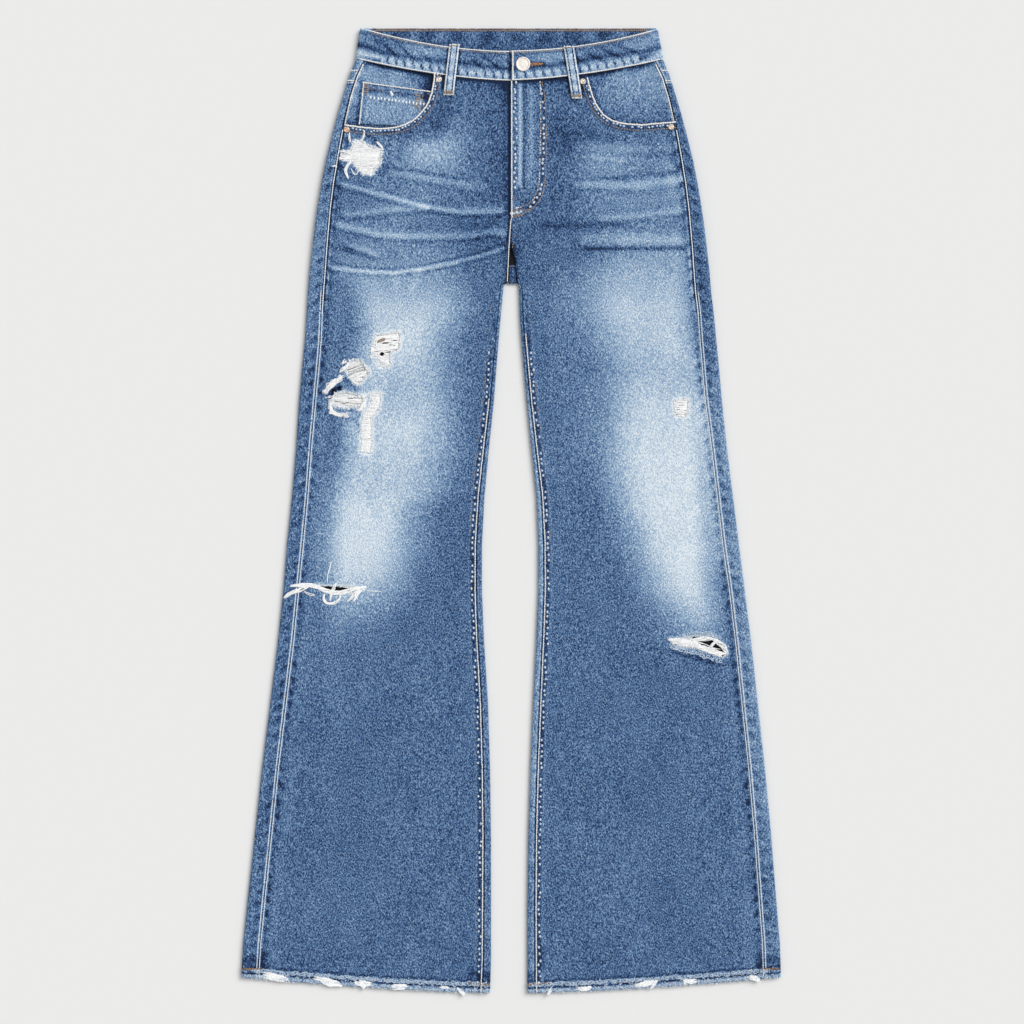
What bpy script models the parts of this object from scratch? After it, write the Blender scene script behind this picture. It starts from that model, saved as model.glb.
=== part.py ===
"""Wide leg jeans, buttoned and laid flat on their back with the front up.

+Y runs up the body to the waistband, +X is the viewer's right, +Z is up from the surface they lie on.
Right and left in the names are the wearer's, so the right leg is on the -X side.
Sizes below are in millimetres and become metres in one place, in to_metres.
"""
import math

import bmesh
import bpy
from mathutils import Vector

MM = 0.001

# Cloth and gaps
CLOTH = 1.2  # a panel's denim
SEAM_GAP = 0.3  # between two pieces at a seam
HEM_EXTRA = 0.8  # what the turned hem adds to the wall
POCKET_CLOTH = 1.0  # the facing, coin pocket and underlap
WEFT_CLOTH = 1.0  # the white threads left in a worn patch
WEFT_RIB = 0.3  # how far every other thread stands lower

# Heights above the surface
SEAT_LIFT = 1.5  # the seat lies on its back pockets and loops
SEAT_FROM_Y = 240.0
SEAT_TO_Y = 280.0
LEG_TOP = 4.0  # upper face of the front panel along the middle of a leg
HIP_TOP = 6.8  # the same over the pocket facings
TOP_FROM_Y = 235.0
TOP_TO_Y = 320.0
EDGE_RISE = 1.5  # a leg's folded edges stand this much above its middle
EDGE_RISE_HIP = 0.5
EDGE_WIDTH = 15.0
FLY_LIFT = 1.6  # the left front lies on the right front along the fly
FLY_WIDTH = 30.0
FLY_FADE = 16.0
FLY_FULL_Y = 335.0
FLY_END_Y = 290.0

# Waistband
BAND_THICK = 2.4
BAND_EDGE = 0.6  # how far the band's edges are rounded off
BAND_TOP_Y = 550.0
BAND_BOTTOM_Y = 514.4
BAND_DIP = 25.0  # the front seam dips this much at the centre
BAND_TOP_DIP = 26.2
BAND_SPAN = 177.0
BAND_TOP_SPAN = 170.0
BAND_POWER = 1.6
BAND_TOP_POWER = 1.9
BAND_WIDER_RIGHT = 5.4  # the band's lower edge reaches this much further out
BAND_WIDER_LEFT = 6.9
BAND_BACK_Z = SEAT_LIFT + BAND_THICK / 2

# Crotch
CROTCH_Y = 259.4
CROTCH_FADE = 12.0  # the inner fold's rise dies out over this length
CENTRE_GAP = 0.2  # half the gap between the two backs

# Sections of the body and legs. y and the outlines are at the outer edge, in_ columns are zero above the crotch.
# dip: how much lower the row runs at the centre on the front. hem: 1 where the cloth is turned up.
LEG_COLUMNS = ("y", "out_r", "in_r", "in_l", "out_l", "outseam", "inseam", "dip", "hem")
LEG_ROWS = (
    (514.1, 177.0, 0.0, 0.0, 173.5, 9.0, 0.0, 25.0, 0),
    (494.0, 184.8, 0.0, 0.0, 181.6, 8.0, 0.0, 18.0, 0),
    (472.5, 191.5, 0.0, 0.0, 188.1, 8.0, 0.0, 11.0, 0),
    (452.0, 197.6, 0.0, 0.0, 194.2, 9.0, 0.0, 6.0, 0),
    (430.0, 203.4, 0.0, 0.0, 200.0, 10.0, 0.0, 2.0, 0),
    (399.6, 210.9, 0.0, 0.0, 207.5, 12.0, 0.0, 0.0, 0),
    (372.0, 216.3, 0.0, 0.0, 212.9, 13.0, 0.0, 0.0, 0),
    (345.0, 220.8, 0.0, 0.0, 217.4, 14.0, 0.0, 0.0, 0),
    (325.0, 223.6, 0.0, 0.0, 220.2, 15.0, 0.0, 0.0, 0),
    (295.0, 227.2, 0.0, 0.0, 223.8, 16.0, 0.0, 0.0, 0),
    (270.0, 230.0, 0.0, 0.0, 226.6, 17.0, 0.0, 0.0, 0),
    (262.0, 230.6, 0.0, 0.0, 227.2, 17.0, 0.0, 0.0, 0),
    (257.0, 231.1, 8.4, 8.6, 227.6, 17.0, 3.6, 0.0, 0),
    (246.0, 232.0, 9.4, 9.4, 228.6, 17.0, 3.6, 0.0, 0),
    (222.0, 233.5, 11.6, 10.0, 231.6, 17.0, 3.6, 0.0, 0),
    (198.9, 234.8, 13.7, 11.4, 233.7, 17.5, 3.6, 0.0, 0),
    (163.0, 238.2, 16.6, 14.4, 237.2, 18.0, 3.8, 0.0, 0),
    (126.0, 241.7, 19.4, 17.6, 240.5, 18.0, 4.0, 0.0, 0),
    (71.3, 245.1, 25.1, 23.0, 246.2, 16.5, 4.6, 0.0, 0),
    (16.5, 249.7, 30.2, 28.7, 253.1, 17.0, 5.6, 0.0, 0),
    (-38.2, 255.4, 33.1, 31.0, 259.9, 17.5, 6.0, 0.0, 0),
    (-92.9, 259.9, 33.1, 31.0, 266.8, 16.5, 6.2, 0.0, 0),
    (-147.6, 265.6, 30.8, 28.7, 273.6, 16.8, 6.6, 0.0, 0),
    (-220.6, 274.7, 26.2, 25.1, 281.6, 17.2, 7.0, 0.0, 0),
    (-293.6, 283.9, 23.9, 21.9, 289.6, 17.6, 7.2, 2.0, 0),
    (-366.5, 291.8, 22.8, 19.6, 296.4, 18.0, 7.6, 7.0, 0),
    (-439.5, 299.8, 22.8, 18.6, 302.1, 18.4, 8.0, 13.0, 0),
    (-494.2, 305.5, 22.8, 18.6, 306.7, 18.8, 8.4, 17.0, 0),
    (-521.4, 307.2, 23.6, 18.6, 307.6, 19.0, 8.6, 18.2, 0),
    (-522.2, 307.2, 23.6, 18.6, 307.6, 19.0, 8.6, 18.2, 1),
    (-531.8, 307.8, 23.9, 18.6, 307.8, 19.0, 8.8, 18.2, 1),
)
DIP_POWER = 1.6
BACK_DIP_POWER = 1.1  # the yokes' seam is nearly straight, so the two make a V

# The front panels' centre edges above the crotch: the left front runs over the right one down to the fly's end.
CENTRE_COLUMNS = ("y", "right", "left")
CENTRE_ROWS = (
    (600.0, -4.0, -1.8),
    (348.0, -4.0, -1.8),
    (330.0, 0.3, 0.3),
    (262.0, 0.3, 0.3),
)
CROTCH_STEP = 3.9  # a front panel's inner edge just below the crotch, in from the leg's edge

# Back rows above the seam to the legs: y at the side, and how much lower the row runs at the centre back.
YOKE_COLUMNS = ("y", "dip", "back_dip")
YOKE_ROWS = ((514.1, 25.0, 0.0), (504.0, 16.0, 18.0), (494.0, 7.0, 36.0), (485.3, 0.0, 55.0))
SEAT_ROWS = ((485.0, 0.0, 55.0), (458.0, 0.0, 43.0), (430.0, 0.0, 30.0), (399.6, 0.0, 15.0), (366.0, 0.0, 4.0))
SEAT_END_Y = 350.0  # below this the back panels use the rows of LEG_ROWS

ARC_STEPS = 4  # faces round a folded edge
FLAT_STEPS = 5  # faces across the back of a leg
FRONT_STEPS = 11  # faces across the front of a leg
FLAT_TAIL = (15.0, 12.0, 9.0, 6.0, 3.0)  # where the inner fold's points lie above the crotch

# Soft folds of the front, as ridges from one point to another: the hips' whiskers, the knees and the hems.
FOLD_COLUMNS = ("x0", "y0", "x1", "y1", "width", "height")
FOLDS = (
    (-205.0, 372.0, -60.0, 318.0, 13.0, 0.7),
    (-215.0, 312.0, -70.0, 280.0, 13.0, 0.6),
    (-222.0, 250.0, -90.0, 236.0, 14.0, 0.5),
    (200.0, 372.0, 70.0, 322.0, 13.0, 0.7),
    (214.0, 306.0, 75.0, 276.0, 13.0, 0.6),
    (222.0, 240.0, 95.0, 232.0, 14.0, 0.5),
    (-190.0, -40.0, -90.0, -75.0, 20.0, 0.7),
    (-200.0, -160.0, -100.0, -130.0, 20.0, 0.6),
    (100.0, -110.0, 215.0, -70.0, 20.0, 0.7),
    (95.0, -220.0, 220.0, -200.0, 20.0, 0.6),
    (-165.0, -250.0, -195.0, -470.0, 24.0, 0.8),
    (160.0, -270.0, 190.0, -480.0, 24.0, 0.8),
)

# Pocket mouths, from the band's seam to the outseam. The right one is the one over the coin pocket.
MOUTH_RIGHT = (
    (-87.8, 496.5), (-90.1, 478.2), (-95.8, 461.7), (-109.4, 446.3), (-123.1, 438.9),
    (-140.2, 435.5), (-160.7, 436.0), (-179.0, 438.3), (-188.0, 439.7),
)
MOUTH_LEFT = (
    (87.8, 491.9), (92.3, 474.8), (99.2, 458.8), (110.6, 446.3), (125.4, 441.7),
    (147.1, 439.5), (168.7, 441.7), (186.0, 443.0),
)
MOUTH_ABOVE = 40.0  # the cutters run this far past the cloth
CUTTER_LOW = -5.0
CUTTER_HIGH = 25.0

FACING_COLUMNS = ("y", "dip", "inner")
FACING_ROWS = (
    (514.1, 25.0, 74.0),
    (500.0, 20.0, 75.0),
    (484.0, 14.5, 77.0),
    (470.0, 10.0, 80.0),
    (456.0, 6.5, 88.0),
    (443.0, 3.0, 100.0),
    (432.0, 1.0, 108.0),
    (424.0, 0.0, 116.0),
)
FACING_STEPS = 7
FACING_CROWD = 1.3  # its points stand closer towards the outseam
FACING_LOW_RIGHT = 4.0  # upper face of the facing, under the coin pocket
FACING_LOW_LEFT = 5.2
FACING_STEP = 0.5  # at the outseam it lies this much below the cloth beside it
FACING_RISE_WIDTH = 24.0
FACING_RISE_FROM_Y = 446.0
FACING_RISE_TO_Y = 470.0

COIN_COLUMNS = ("y_out", "y_in", "out", "inner")
COIN_ROWS = (
    (488.5, 477.6, 168.7, 88.0),
    (481.0, 470.4, 169.6, 88.5),
    (466.0, 458.0, 171.2, 90.0),
    (452.0, 446.0, 172.8, 94.0),
    (441.0, 437.0, 173.8, 100.0),
)
COIN_STEPS = 6

UNDERLAP_COLUMNS = ("y", "x0", "x1")
UNDERLAP_ROWS = ((488.8, -20.0, 40.0), (440.0, -20.0, 38.0), (390.0, -18.0, 34.0), (350.0, -14.0, 22.0))
UNDERLAP_TOP = 5.3
UNDERLAP_STEPS = 4

# Stations round the waistband, from the end under the button to the end above it.
BAND_COLUMNS = ("x", "z")
BAND_FRONT_RIGHT = (
    (42.0, 5.4), (20.0, 5.4), (-8.0, 5.4), (-40.0, 5.45), (-75.0, 5.6), (-110.0, 5.75), (-145.0, 5.9),
)
BAND_BACK = (-150.0, -100.0, -50.0, 0.0, 50.0, 98.0, 145.0)
BAND_FRONT_LEFT = ((142.0, 5.9), (112.0, 6.2), (84.0, 6.7), (56.0, 7.6), (30.0, 8.1), (12.0, 8.1), (0.6, 8.1))
BAND_SIDE_RIGHT = 172.1
BAND_SIDE_LEFT = 167.0
BAND_SIDE_STEPS = 6
BAND_EDGE_SHARE = (0.0, 0.05, 0.95, 1.0)

# Belt loops: upper end, lower end, and the faces they stand on.
LOOP_WIDTH = 11.8
LOOP_CLOTH = 1.6
LOOP_ARCH = 1.3
LOOP_STEPS = 8
LOOP_ARCH_POWER = 0.7
LOOP_CROWN_COLUMNS = ("share_of_width", "thickness")
LOOP_CROWN = ((-0.5, 1.35), (-0.25, LOOP_CLOTH), (0.25, LOOP_CLOTH), (0.5, 1.35))
LOOP_COLUMNS = ("name", "x0", "y0", "x1", "y1")
FRONT_LOOPS = (
    ("belt_loop_front_right", -64.4, 531.0, -71.2, 472.5),
    ("belt_loop_front_left", 65.5, 528.6, 75.2, 468.4),
)
BACK_LOOPS = (
    ("belt_loop_back_right", -104.0),
    ("belt_loop_back_centre", 0.0),
    ("belt_loop_back_left", 104.0),
)
BACK_LOOP_TOP_Y = 549.0
BACK_LOOP_BOTTOM_Y = 497.0

BACK_POCKET = (  # the wearer's left one: the other is its mirror image
    (38.0, 428.0), (178.0, 440.0), (176.0, 318.0), (112.0, 292.0), (50.0, 308.0),
)
BACK_POCKET_BEVEL = 0.35

BUTTON_AT = (13.7, 507.9)
BUTTON_PROFILE = (
    (0.0, 6.95), (2.4, 6.95), (2.4, 9.6), (7.7, 9.6), (8.2, 10.1),
    (8.2, 10.6), (7.6, 11.1), (6.8, 11.1), (6.1, 10.7), (0.0, 11.0),
)
BUTTON_STEPS = 28
BUTTONHOLE_RADIUS = 3.0
BUTTONHOLE_STEPS = 16
BUTTONHOLE_END_X = 36.0
BUTTONHOLE_SLIT = 1.2
BUTTONHOLE_FLOOR = 6.75

RIVET_PROFILE = ((0.0, 0.0), (3.3, 0.0), (3.4, 0.5), (2.7, 1.1), (1.5, 1.15), (1.1, 0.8), (0.0, 0.8))
RIVET_STEPS = 16
RIVET_CLEAR = 0.35
RIVET_COLUMNS = ("name", "x", "y")
RIVETS = (
    ("rivet_right_upper", -82.1, 490.9),
    ("rivet_right_side", -187.2, 433.6),
    ("rivet_left_upper", 81.6, 488.6),
    ("rivet_left_side", 182.4, 436.6),
)

# Worn patches: the outline cut through the front panel.
RIPS_RIGHT = (
    ("hip", ((-193.8, 421.5), (-170.0, 423.5), (-147.6, 420.0), (-148.5, 400.0), (-152.0, 384.0),
             (-172.0, 380.6), (-190.0, 385.0), (-192.0, 402.0))),
    ("thigh_1", ((-154.9, 199.7), (-127.0, 203.3), (-125.9, 196.2), (-128.1, 183.4), (-137.5, 179.9),
                 (-137.5, 166.0), (-143.3, 163.1), (-152.6, 167.1), (-150.8, 176.5), (-157.8, 176.5))),
    ("thigh_2", ((-184.0, 170.7), (-171.2, 171.8), (-161.3, 156.6), (-173.5, 142.7), (-179.3, 145.0),
                 (-188.7, 159.0))),
    ("thigh_3", ((-200.3, 133.4), (-189.8, 135.8), (-171.2, 130.0), (-166.6, 131.1), (-167.7, 120.6),
                 (-174.6, 118.3), (-190.9, 117.1), (-204.1, 120.3))),
    ("thigh_4", ((-160.7, 133.4), (-149.1, 134.6), (-148.0, 125.3), (-151.4, 113.7), (-159.6, 105.4),
                 (-158.5, 79.9), (-159.6, 65.9), (-171.2, 67.1), (-170.1, 77.6), (-170.7, 96.2),
                 (-167.7, 113.7), (-159.6, 120.6))),
    ("knee", ((-228.0, -84.4), (-212.0, -86.1), (-195.0, -84.9), (-181.3, -88.4), (-172.1, -90.6),
              (-181.3, -96.3), (-195.0, -100.9), (-210.9, -97.5), (-223.4, -90.6))),
)
RIPS_LEFT = (
    ("thigh", ((185.8, 125.6), (202.7, 126.7), (201.7, 117.2), (200.6, 109.8), (197.4, 106.6), (187.0, 108.8))),
    ("knee", ((180.6, -146.3), (194.3, -145.2), (211.1, -143.1), (230.1, -143.1), (244.9, -154.7),
              (246.9, -163.1), (240.7, -167.4), (228.0, -163.1), (211.1, -156.8), (198.5, -155.7),
              (185.8, -153.6))),
)
# The threads left behind each: name, side, spacing of rows, and rows of y, x from, x to.
WEFT_COLUMNS = ("name", "side", "pitch", "rows")
WEFTS = (
    ("weft_hip_right", -1, 3.4, ((425.0, -197.0, -144.5), (402.0, -196.0, -146.0), (379.0, -194.0, -149.0))),
    ("weft_thigh_right_1", -1, 3.4, ((205.0, -159.5, -124.0), (178.6, -159.5, -124.5), (176.0, -156.0, -135.0),
                                     (161.0, -155.0, -135.5))),
    ("weft_thigh_right_2", -1, 3.4, ((173.5, -191.0, -160.0), (158.0, -191.0, -159.0), (140.8, -191.0, -160.0))),
    ("weft_thigh_right_3", -1, 3.4, ((138.0, -206.0, -165.0), (126.0, -206.5, -165.0), (115.4, -206.0, -166.0))),
    ("weft_thigh_right_4", -1, 3.4, ((136.5, -162.6, -146.0), (115.0, -162.6, -148.0), (110.5, -172.6, -150.0),
                                     (64.0, -173.4, -157.0))),
    ("weft_thigh_left", 1, 3.4, ((128.5, 184.0, 205.0), (105.0, 184.0, 204.0))),
    ("weft_knee_left", 1, 3.4, ((-141.5, 178.5, 249.0), (-156.0, 178.5, 249.5), (-169.5, 182.0, 249.0))),
)
WEFT_STEPS = 4
# The gap between the threads of the left knee.
KNEE_GAP = ((216.0, -150.2), (226.0, -148.2), (233.0, -150.6), (239.0, -156.6), (229.0, -155.4), (221.0, -152.8))

# The bundle of threads over the right knee's slit: x, y, half width, height over the cloth.
BUNDLE_COLUMNS = ("x", "y", "half_width", "height")
BUNDLE_ROWS = (
    (-257.0, -99.0, 2.0, 0.4),
    (-247.0, -94.0, 3.6, 0.5),
    (-237.0, -88.5, 4.8, 0.6),
    (-226.0, -86.0, 5.0, 0.7),
    (-213.0, -90.5, 4.2, 0.7),
    (-200.0, -95.0, 4.0, 0.7),
    (-190.0, -93.5, 3.4, 0.6),
    (-179.0, -89.0, 3.6, 0.5),
    (-168.0, -88.0, 2.0, 0.4),
)
BUNDLE_SECTION_COLUMNS = ("share_of_half_width", "low", "high")
BUNDLE_SECTION = ((1.0, 0.5, 1.1), (0.5, 0.0, 2.0), (-0.5, 0.0, 2.0), (-1.0, 0.5, 1.1))

# Frayed tufts below the hems: from and to across the leg, and length.
TUFT_COLUMNS = ("start", "end", "length")
TUFTS_RIGHT = (
    (52.0, 61.0, 5.0),
    (70.0, 82.0, 2.5),
    (119.0, 137.0, 3.0),
    (160.0, 178.0, 5.5),
    (193.0, 224.0, 3.5),
    (252.0, 286.0, 2.5),
)
TUFTS_LEFT = (
    (46.0, 52.5, 5.0),
    (76.0, 91.0, 3.5),
    (140.0, 168.0, 3.5),
    (196.0, 211.0, 2.5),
    (270.0, 285.0, 2.5),
)
TUFT_PITCH = 2.6
TUFT_WIDTH = 1.1
TUFT_TIP = 0.5
TUFT_SHORTEST = 0.6  # the shortest strand's share of a tuft's length
TUFT_TURN = 2.3  # how fast the length and lean vary from strand to strand
TUFT_LEAN = 0.5
FRAY_DEPTH = 1.3
FRAY_Z = 2.5
FRAY_THICK = 1.2
FRAY_INSET = 12.0  # the strip stops this far in from each fold
FRAY_STEP = 14.0

DENIM = (0.13, 0.24, 0.42)
DENIM_DARK = (0.07, 0.13, 0.25)
DENIM_PALE = (0.28, 0.42, 0.62)
COTTON = (0.78, 0.76, 0.72)
METAL = (0.72, 0.71, 0.68)
COPPER = (0.55, 0.33, 0.2)


def clear_scene():
    """Removes the startup objects."""
    for obj in list(bpy.data.objects):
        bpy.data.objects.remove(obj, do_unlink=True)


def to_metres(point):
    """A point in millimetres as a vector in metres."""
    return Vector(point) * MM


def smooth(start, end, value):
    """0 at start, 1 at end, eased between."""
    share = min(1.0, max(0.0, (value - start) / (end - start)))
    return share * share * (3.0 - 2.0 * share)


def lerp(a, b, share):
    """The value that share of the way from a to b."""
    return a + (b - a) * share


def row_at(table, y, column):
    """A column of a table whose first column is y, falling, read between its rows."""
    for upper, lower in zip(table, table[1:]):
        if y >= lower[0]:
            share = (upper[0] - y) / (upper[0] - lower[0])
            return lerp(upper[column], lower[column], min(1.0, max(0.0, share)))
    return table[-1][column]


def leg_at(y, name):
    """A column of LEG_ROWS at height y."""
    return row_at(LEG_ROWS, y, LEG_COLUMNS.index(name))


def outer_edge(y, side):
    """The outer outline of the body or leg at height y."""
    return leg_at(y, "out_r" if side < 0 else "out_l")


def under_z(y):
    """The height of the underside."""
    return SEAT_LIFT * smooth(SEAT_FROM_Y, SEAT_TO_Y, y)


def fold_z(x, y):
    """The soft folds of the front."""
    height = 0.0
    for x0, y0, x1, y1, width, peak in FOLDS:
        along = Vector((x1 - x0, y1 - y0))
        share = (Vector((x - x0, y - y0)).dot(along)) / along.length_squared
        held = min(1.0, max(0.0, share))
        away = (Vector((x, y)) - Vector((x0, y0)) - along * held).length
        height += peak * math.exp(-((away / width) ** 2))
    return height


def front_z(across, y, side):
    """The upper face of the front at this distance from the centre line, on the side of that leg."""
    middle = lerp(LEG_TOP, HIP_TOP, smooth(TOP_FROM_Y, TOP_TO_Y, y))
    rise = lerp(EDGE_RISE, EDGE_RISE_HIP, smooth(TOP_FROM_Y, TOP_TO_Y, y))
    to_outer = (outer_edge(y, side) - across) / EDGE_WIDTH
    height = middle + rise * math.exp(-(to_outer ** 2))
    inner = leg_at(y, "in_r" if side < 0 else "in_l")
    below_crotch = 1.0 - smooth(CROTCH_Y - CROTCH_FADE, CROTCH_Y, y)
    height += rise * below_crotch * math.exp(-(((across - inner) / EDGE_WIDTH) ** 2))
    if side > 0:
        fly = 1.0 - smooth(FLY_WIDTH, FLY_WIDTH + FLY_FADE, across)
        height += FLY_LIFT * fly * smooth(FLY_END_Y, FLY_FULL_Y, y)
    return height + fold_z(side * across, y)


def dipped(y, dip, across, outer, power=DIP_POWER):
    """The height of a row that runs lower towards the centre line."""
    share = min(1.0, abs(across) / outer)
    return y - dip * (1.0 - share ** power)


def material(name, colour, roughness=0.9, metallic=0.0):
    """A Principled material."""
    made = bpy.data.materials.new(name)
    made.use_nodes = True
    shader = made.node_tree.nodes["Principled BSDF"]
    shader.inputs["Base Color"].default_value = (*colour, 1.0)
    shader.inputs["Roughness"].default_value = roughness
    shader.inputs["Metallic"].default_value = metallic
    made.diffuse_color = (*colour, 1.0)
    return made


def new_object(name, bm, made, collection):
    """A named object of this mesh, with its faces turned out."""
    bmesh.ops.recalc_face_normals(bm, faces=bm.faces)
    if bm.calc_volume(signed=True) < 0.0:
        bmesh.ops.reverse_faces(bm, faces=bm.faces)
    mesh = bpy.data.meshes.new(name)
    bm.to_mesh(mesh)
    bm.free()
    if made is not None:
        mesh.materials.append(made)
    obj = bpy.data.objects.new(name, mesh)
    collection.objects.link(obj)
    return obj


def wall(name, outer, inner, made, collection):
    """A closed wall between two grids of points with the same rows and columns."""
    bm = bmesh.new()
    skins = []
    for grid in (outer, inner):
        skins.append([[bm.verts.new(to_metres(point)) for point in row] for row in grid])
    face_out, face_in = skins
    rows = len(outer)
    columns = len(outer[0])
    for skin in skins:
        for i in range(rows - 1):
            for j in range(columns - 1):
                bm.faces.new((skin[i][j], skin[i][j + 1], skin[i + 1][j + 1], skin[i + 1][j]))
    for j in range(columns - 1):
        for i in (0, rows - 1):
            bm.faces.new((face_out[i][j], face_in[i][j], face_in[i][j + 1], face_out[i][j + 1]))
    for i in range(rows - 1):
        for j in (0, columns - 1):
            bm.faces.new((face_out[i][j], face_out[i + 1][j], face_in[i + 1][j], face_in[i][j]))
    return new_object(name, bm, made, collection)


def slab(name, outline, low, high, made, collection):
    """A flat plate of this outline between two heights."""
    bm = bmesh.new()
    face = bm.faces.new([bm.verts.new(to_metres((x, y, low))) for x, y in outline])
    grown = bmesh.ops.extrude_face_region(bm, geom=[face])
    raised = [item for item in grown["geom"] if isinstance(item, bmesh.types.BMVert)]
    bmesh.ops.translate(bm, verts=raised, vec=to_metres((0.0, 0.0, high - low)))
    bmesh.ops.triangulate(bm, faces=[f for f in bm.faces if len(f.verts) > 4])
    return new_object(name, bm, made, collection)


def lathe(name, profile, at, steps, made, collection):
    """A turned solid about a vertical axis, from a profile of radius and height that starts and ends on it."""
    bm = bmesh.new()
    made_verts = [bm.verts.new(to_metres((radius, 0.0, height))) for radius, height in profile]
    edges = [bm.edges.new(pair) for pair in zip(made_verts, made_verts[1:])]
    bmesh.ops.spin(
        bm, geom=made_verts + edges, cent=(0.0, 0.0, 0.0), axis=(0.0, 0.0, 1.0),
        angle=2.0 * math.pi, steps=steps, use_merge=True,
    )
    bmesh.ops.remove_doubles(bm, verts=bm.verts, dist=0.00001)
    bmesh.ops.translate(bm, verts=bm.verts, vec=to_metres(at))
    return new_object(name, bm, made, collection)


def cut(target, cutter):
    """Takes the cutter's shape out of the target."""
    modifier = target.modifiers.new("cut_" + cutter.name, "BOOLEAN")
    modifier.operation = "DIFFERENCE"
    modifier.solver = "EXACT"
    modifier.object = cutter


def make_cutter(name, outline, low, high, collection):
    """A hidden plate that a Boolean uses."""
    cutter = slab(name, outline, low, high, None, collection)
    cutter.hide_render = True
    cutter.display_type = "WIRE"
    return cutter


def front_rows(side):
    """The two faces of a front panel, from the band's seam to the hem."""
    outer_face = []
    inner_face = []
    for row in LEG_ROWS:
        now = dict(zip(LEG_COLUMNS, row))
        y = now["y"]
        outer = now["out_r"] if side < 0 else now["out_l"]
        inner = now["in_r"] if side < 0 else now["in_l"]
        from_u = outer - now["outseam"] - SEAM_GAP
        to_u = inner + now["inseam"] + SEAM_GAP
        if inner == 0.0:
            to_u = row_at(CENTRE_ROWS, y, 1 if side < 0 else 2)
        elif y > SEAT_FROM_Y:
            to_u = inner + CROTCH_STEP
        thick = CLOTH + HEM_EXTRA * now["hem"]
        upper = []
        lower = []
        for step in range(FRONT_STEPS + 1):
            across = lerp(from_u, to_u, step / FRONT_STEPS)
            at_y = dipped(y, now["dip"], across, now["out_r"])
            z = front_z(across, y, side) + HEM_EXTRA * now["hem"]
            upper.append((side * across, at_y, z))
            lower.append((side * across, at_y, z - thick))
        outer_face.append(upper)
        inner_face.append(lower)
    return outer_face, inner_face


def back_row(side, y, dip, back_dip, hem):
    """One section of the back: over the outer fold, across the underside and, in a leg, over the inner fold."""
    outer = outer_edge(y, side)
    inner = leg_at(y, "in_r" if side < 0 else "in_l")
    in_leg = y < CROTCH_Y
    thick = CLOTH + HEM_EXTRA * hem
    low = under_z(y)
    seam = outer - leg_at(y, "outseam")
    top = front_z(outer, y, side) + HEM_EXTRA * hem
    radius = (top - low) / 2.0
    faces = ([], [])

    def add(u, z_out, u_in, z_in, on_front):
        for face, across, z in ((faces[0], u, z_out), (faces[1], u_in, z_in)):
            behind = dipped(y, back_dip, across, leg_at(y, "out_r"), DIP_POWER if in_leg else BACK_DIP_POWER)
            at_y = lerp(behind, dipped(y, dip, across, leg_at(y, "out_r")), on_front)
            face.append((side * across, at_y, z))

    z = front_z(seam, y, side) + HEM_EXTRA * hem
    add(seam, z, seam, z - thick, 1.0)
    for step in range(ARC_STEPS + 1):
        angle = math.pi / 2.0 - math.pi * step / ARC_STEPS
        u = outer - radius
        add(
            u + radius * math.cos(angle), low + radius + radius * math.sin(angle),
            u + (radius - thick) * math.cos(angle), low + radius + (radius - thick) * math.sin(angle),
            0.5 + 0.5 * math.sin(angle),
        )
    inner_top = front_z(inner, y, side) + HEM_EXTRA * hem
    inner_radius = (inner_top - low) / 2.0
    end = inner + inner_radius if in_leg else FLAT_TAIL[0]
    for step in range(1, FLAT_STEPS):
        u = lerp(outer - radius, end, step / FLAT_STEPS)
        add(u, low, u, low + thick, 0.0)
    if not in_leg:
        for u in FLAT_TAIL:
            add(u, low, u, low + thick, 0.0)
        add(CENTRE_GAP, low, CENTRE_GAP, low + thick, 0.0)
        return faces
    for step in range(ARC_STEPS + 1):
        angle = -math.pi / 2.0 - math.pi * step / ARC_STEPS
        u = inner + inner_radius
        add(
            u + inner_radius * math.cos(angle), low + inner_radius + inner_radius * math.sin(angle),
            u + (inner_radius - thick) * math.cos(angle),
            low + inner_radius + (inner_radius - thick) * math.sin(angle),
            0.5 + 0.5 * math.sin(angle),
        )
    seam = inner + leg_at(y, "inseam")
    z = front_z(seam, y, side) + HEM_EXTRA * hem
    add(seam, z, seam, z - thick, 1.0)
    return faces


def back_rows(side):
    """The two faces of a back panel."""
    sections = [back_row(side, y, dip, back_dip, 0) for y, dip, back_dip in SEAT_ROWS]
    for row in LEG_ROWS:
        now = dict(zip(LEG_COLUMNS, row))
        if now["y"] < SEAT_END_Y:
            sections.append(back_row(side, now["y"], now["dip"], now["dip"], now["hem"]))
    return [section[0] for section in sections], [section[1] for section in sections]


def yoke_rows(side):
    """The two faces of a yoke."""
    sections = [back_row(side, y, dip, back_dip, 0) for y, dip, back_dip in YOKE_ROWS]
    return [section[0] for section in sections], [section[1] for section in sections]


def band_bottom(x):
    """The front seam of the waistband."""
    return BAND_BOTTOM_Y - BAND_DIP * (1.0 - min(1.0, abs(x) / BAND_SPAN) ** BAND_POWER)


def band_top(x):
    """The front top edge of the waistband."""
    return BAND_TOP_Y - BAND_TOP_DIP * (1.0 - min(1.0, abs(x) / BAND_TOP_SPAN) ** BAND_TOP_POWER)


def band_front_z(x):
    """The upper face of the front waistband at x."""
    table = BAND_FRONT_LEFT if x > 0.0 else tuple(reversed(BAND_FRONT_RIGHT))
    path = sorted(table)
    for (x0, z0), (x1, z1) in zip(path, path[1:]):
        if x <= x1:
            return lerp(z0, z1, min(1.0, max(0.0, (x - x0) / (x1 - x0)))) + BAND_THICK / 2.0
    return path[-1][1] + BAND_THICK / 2.0


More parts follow.
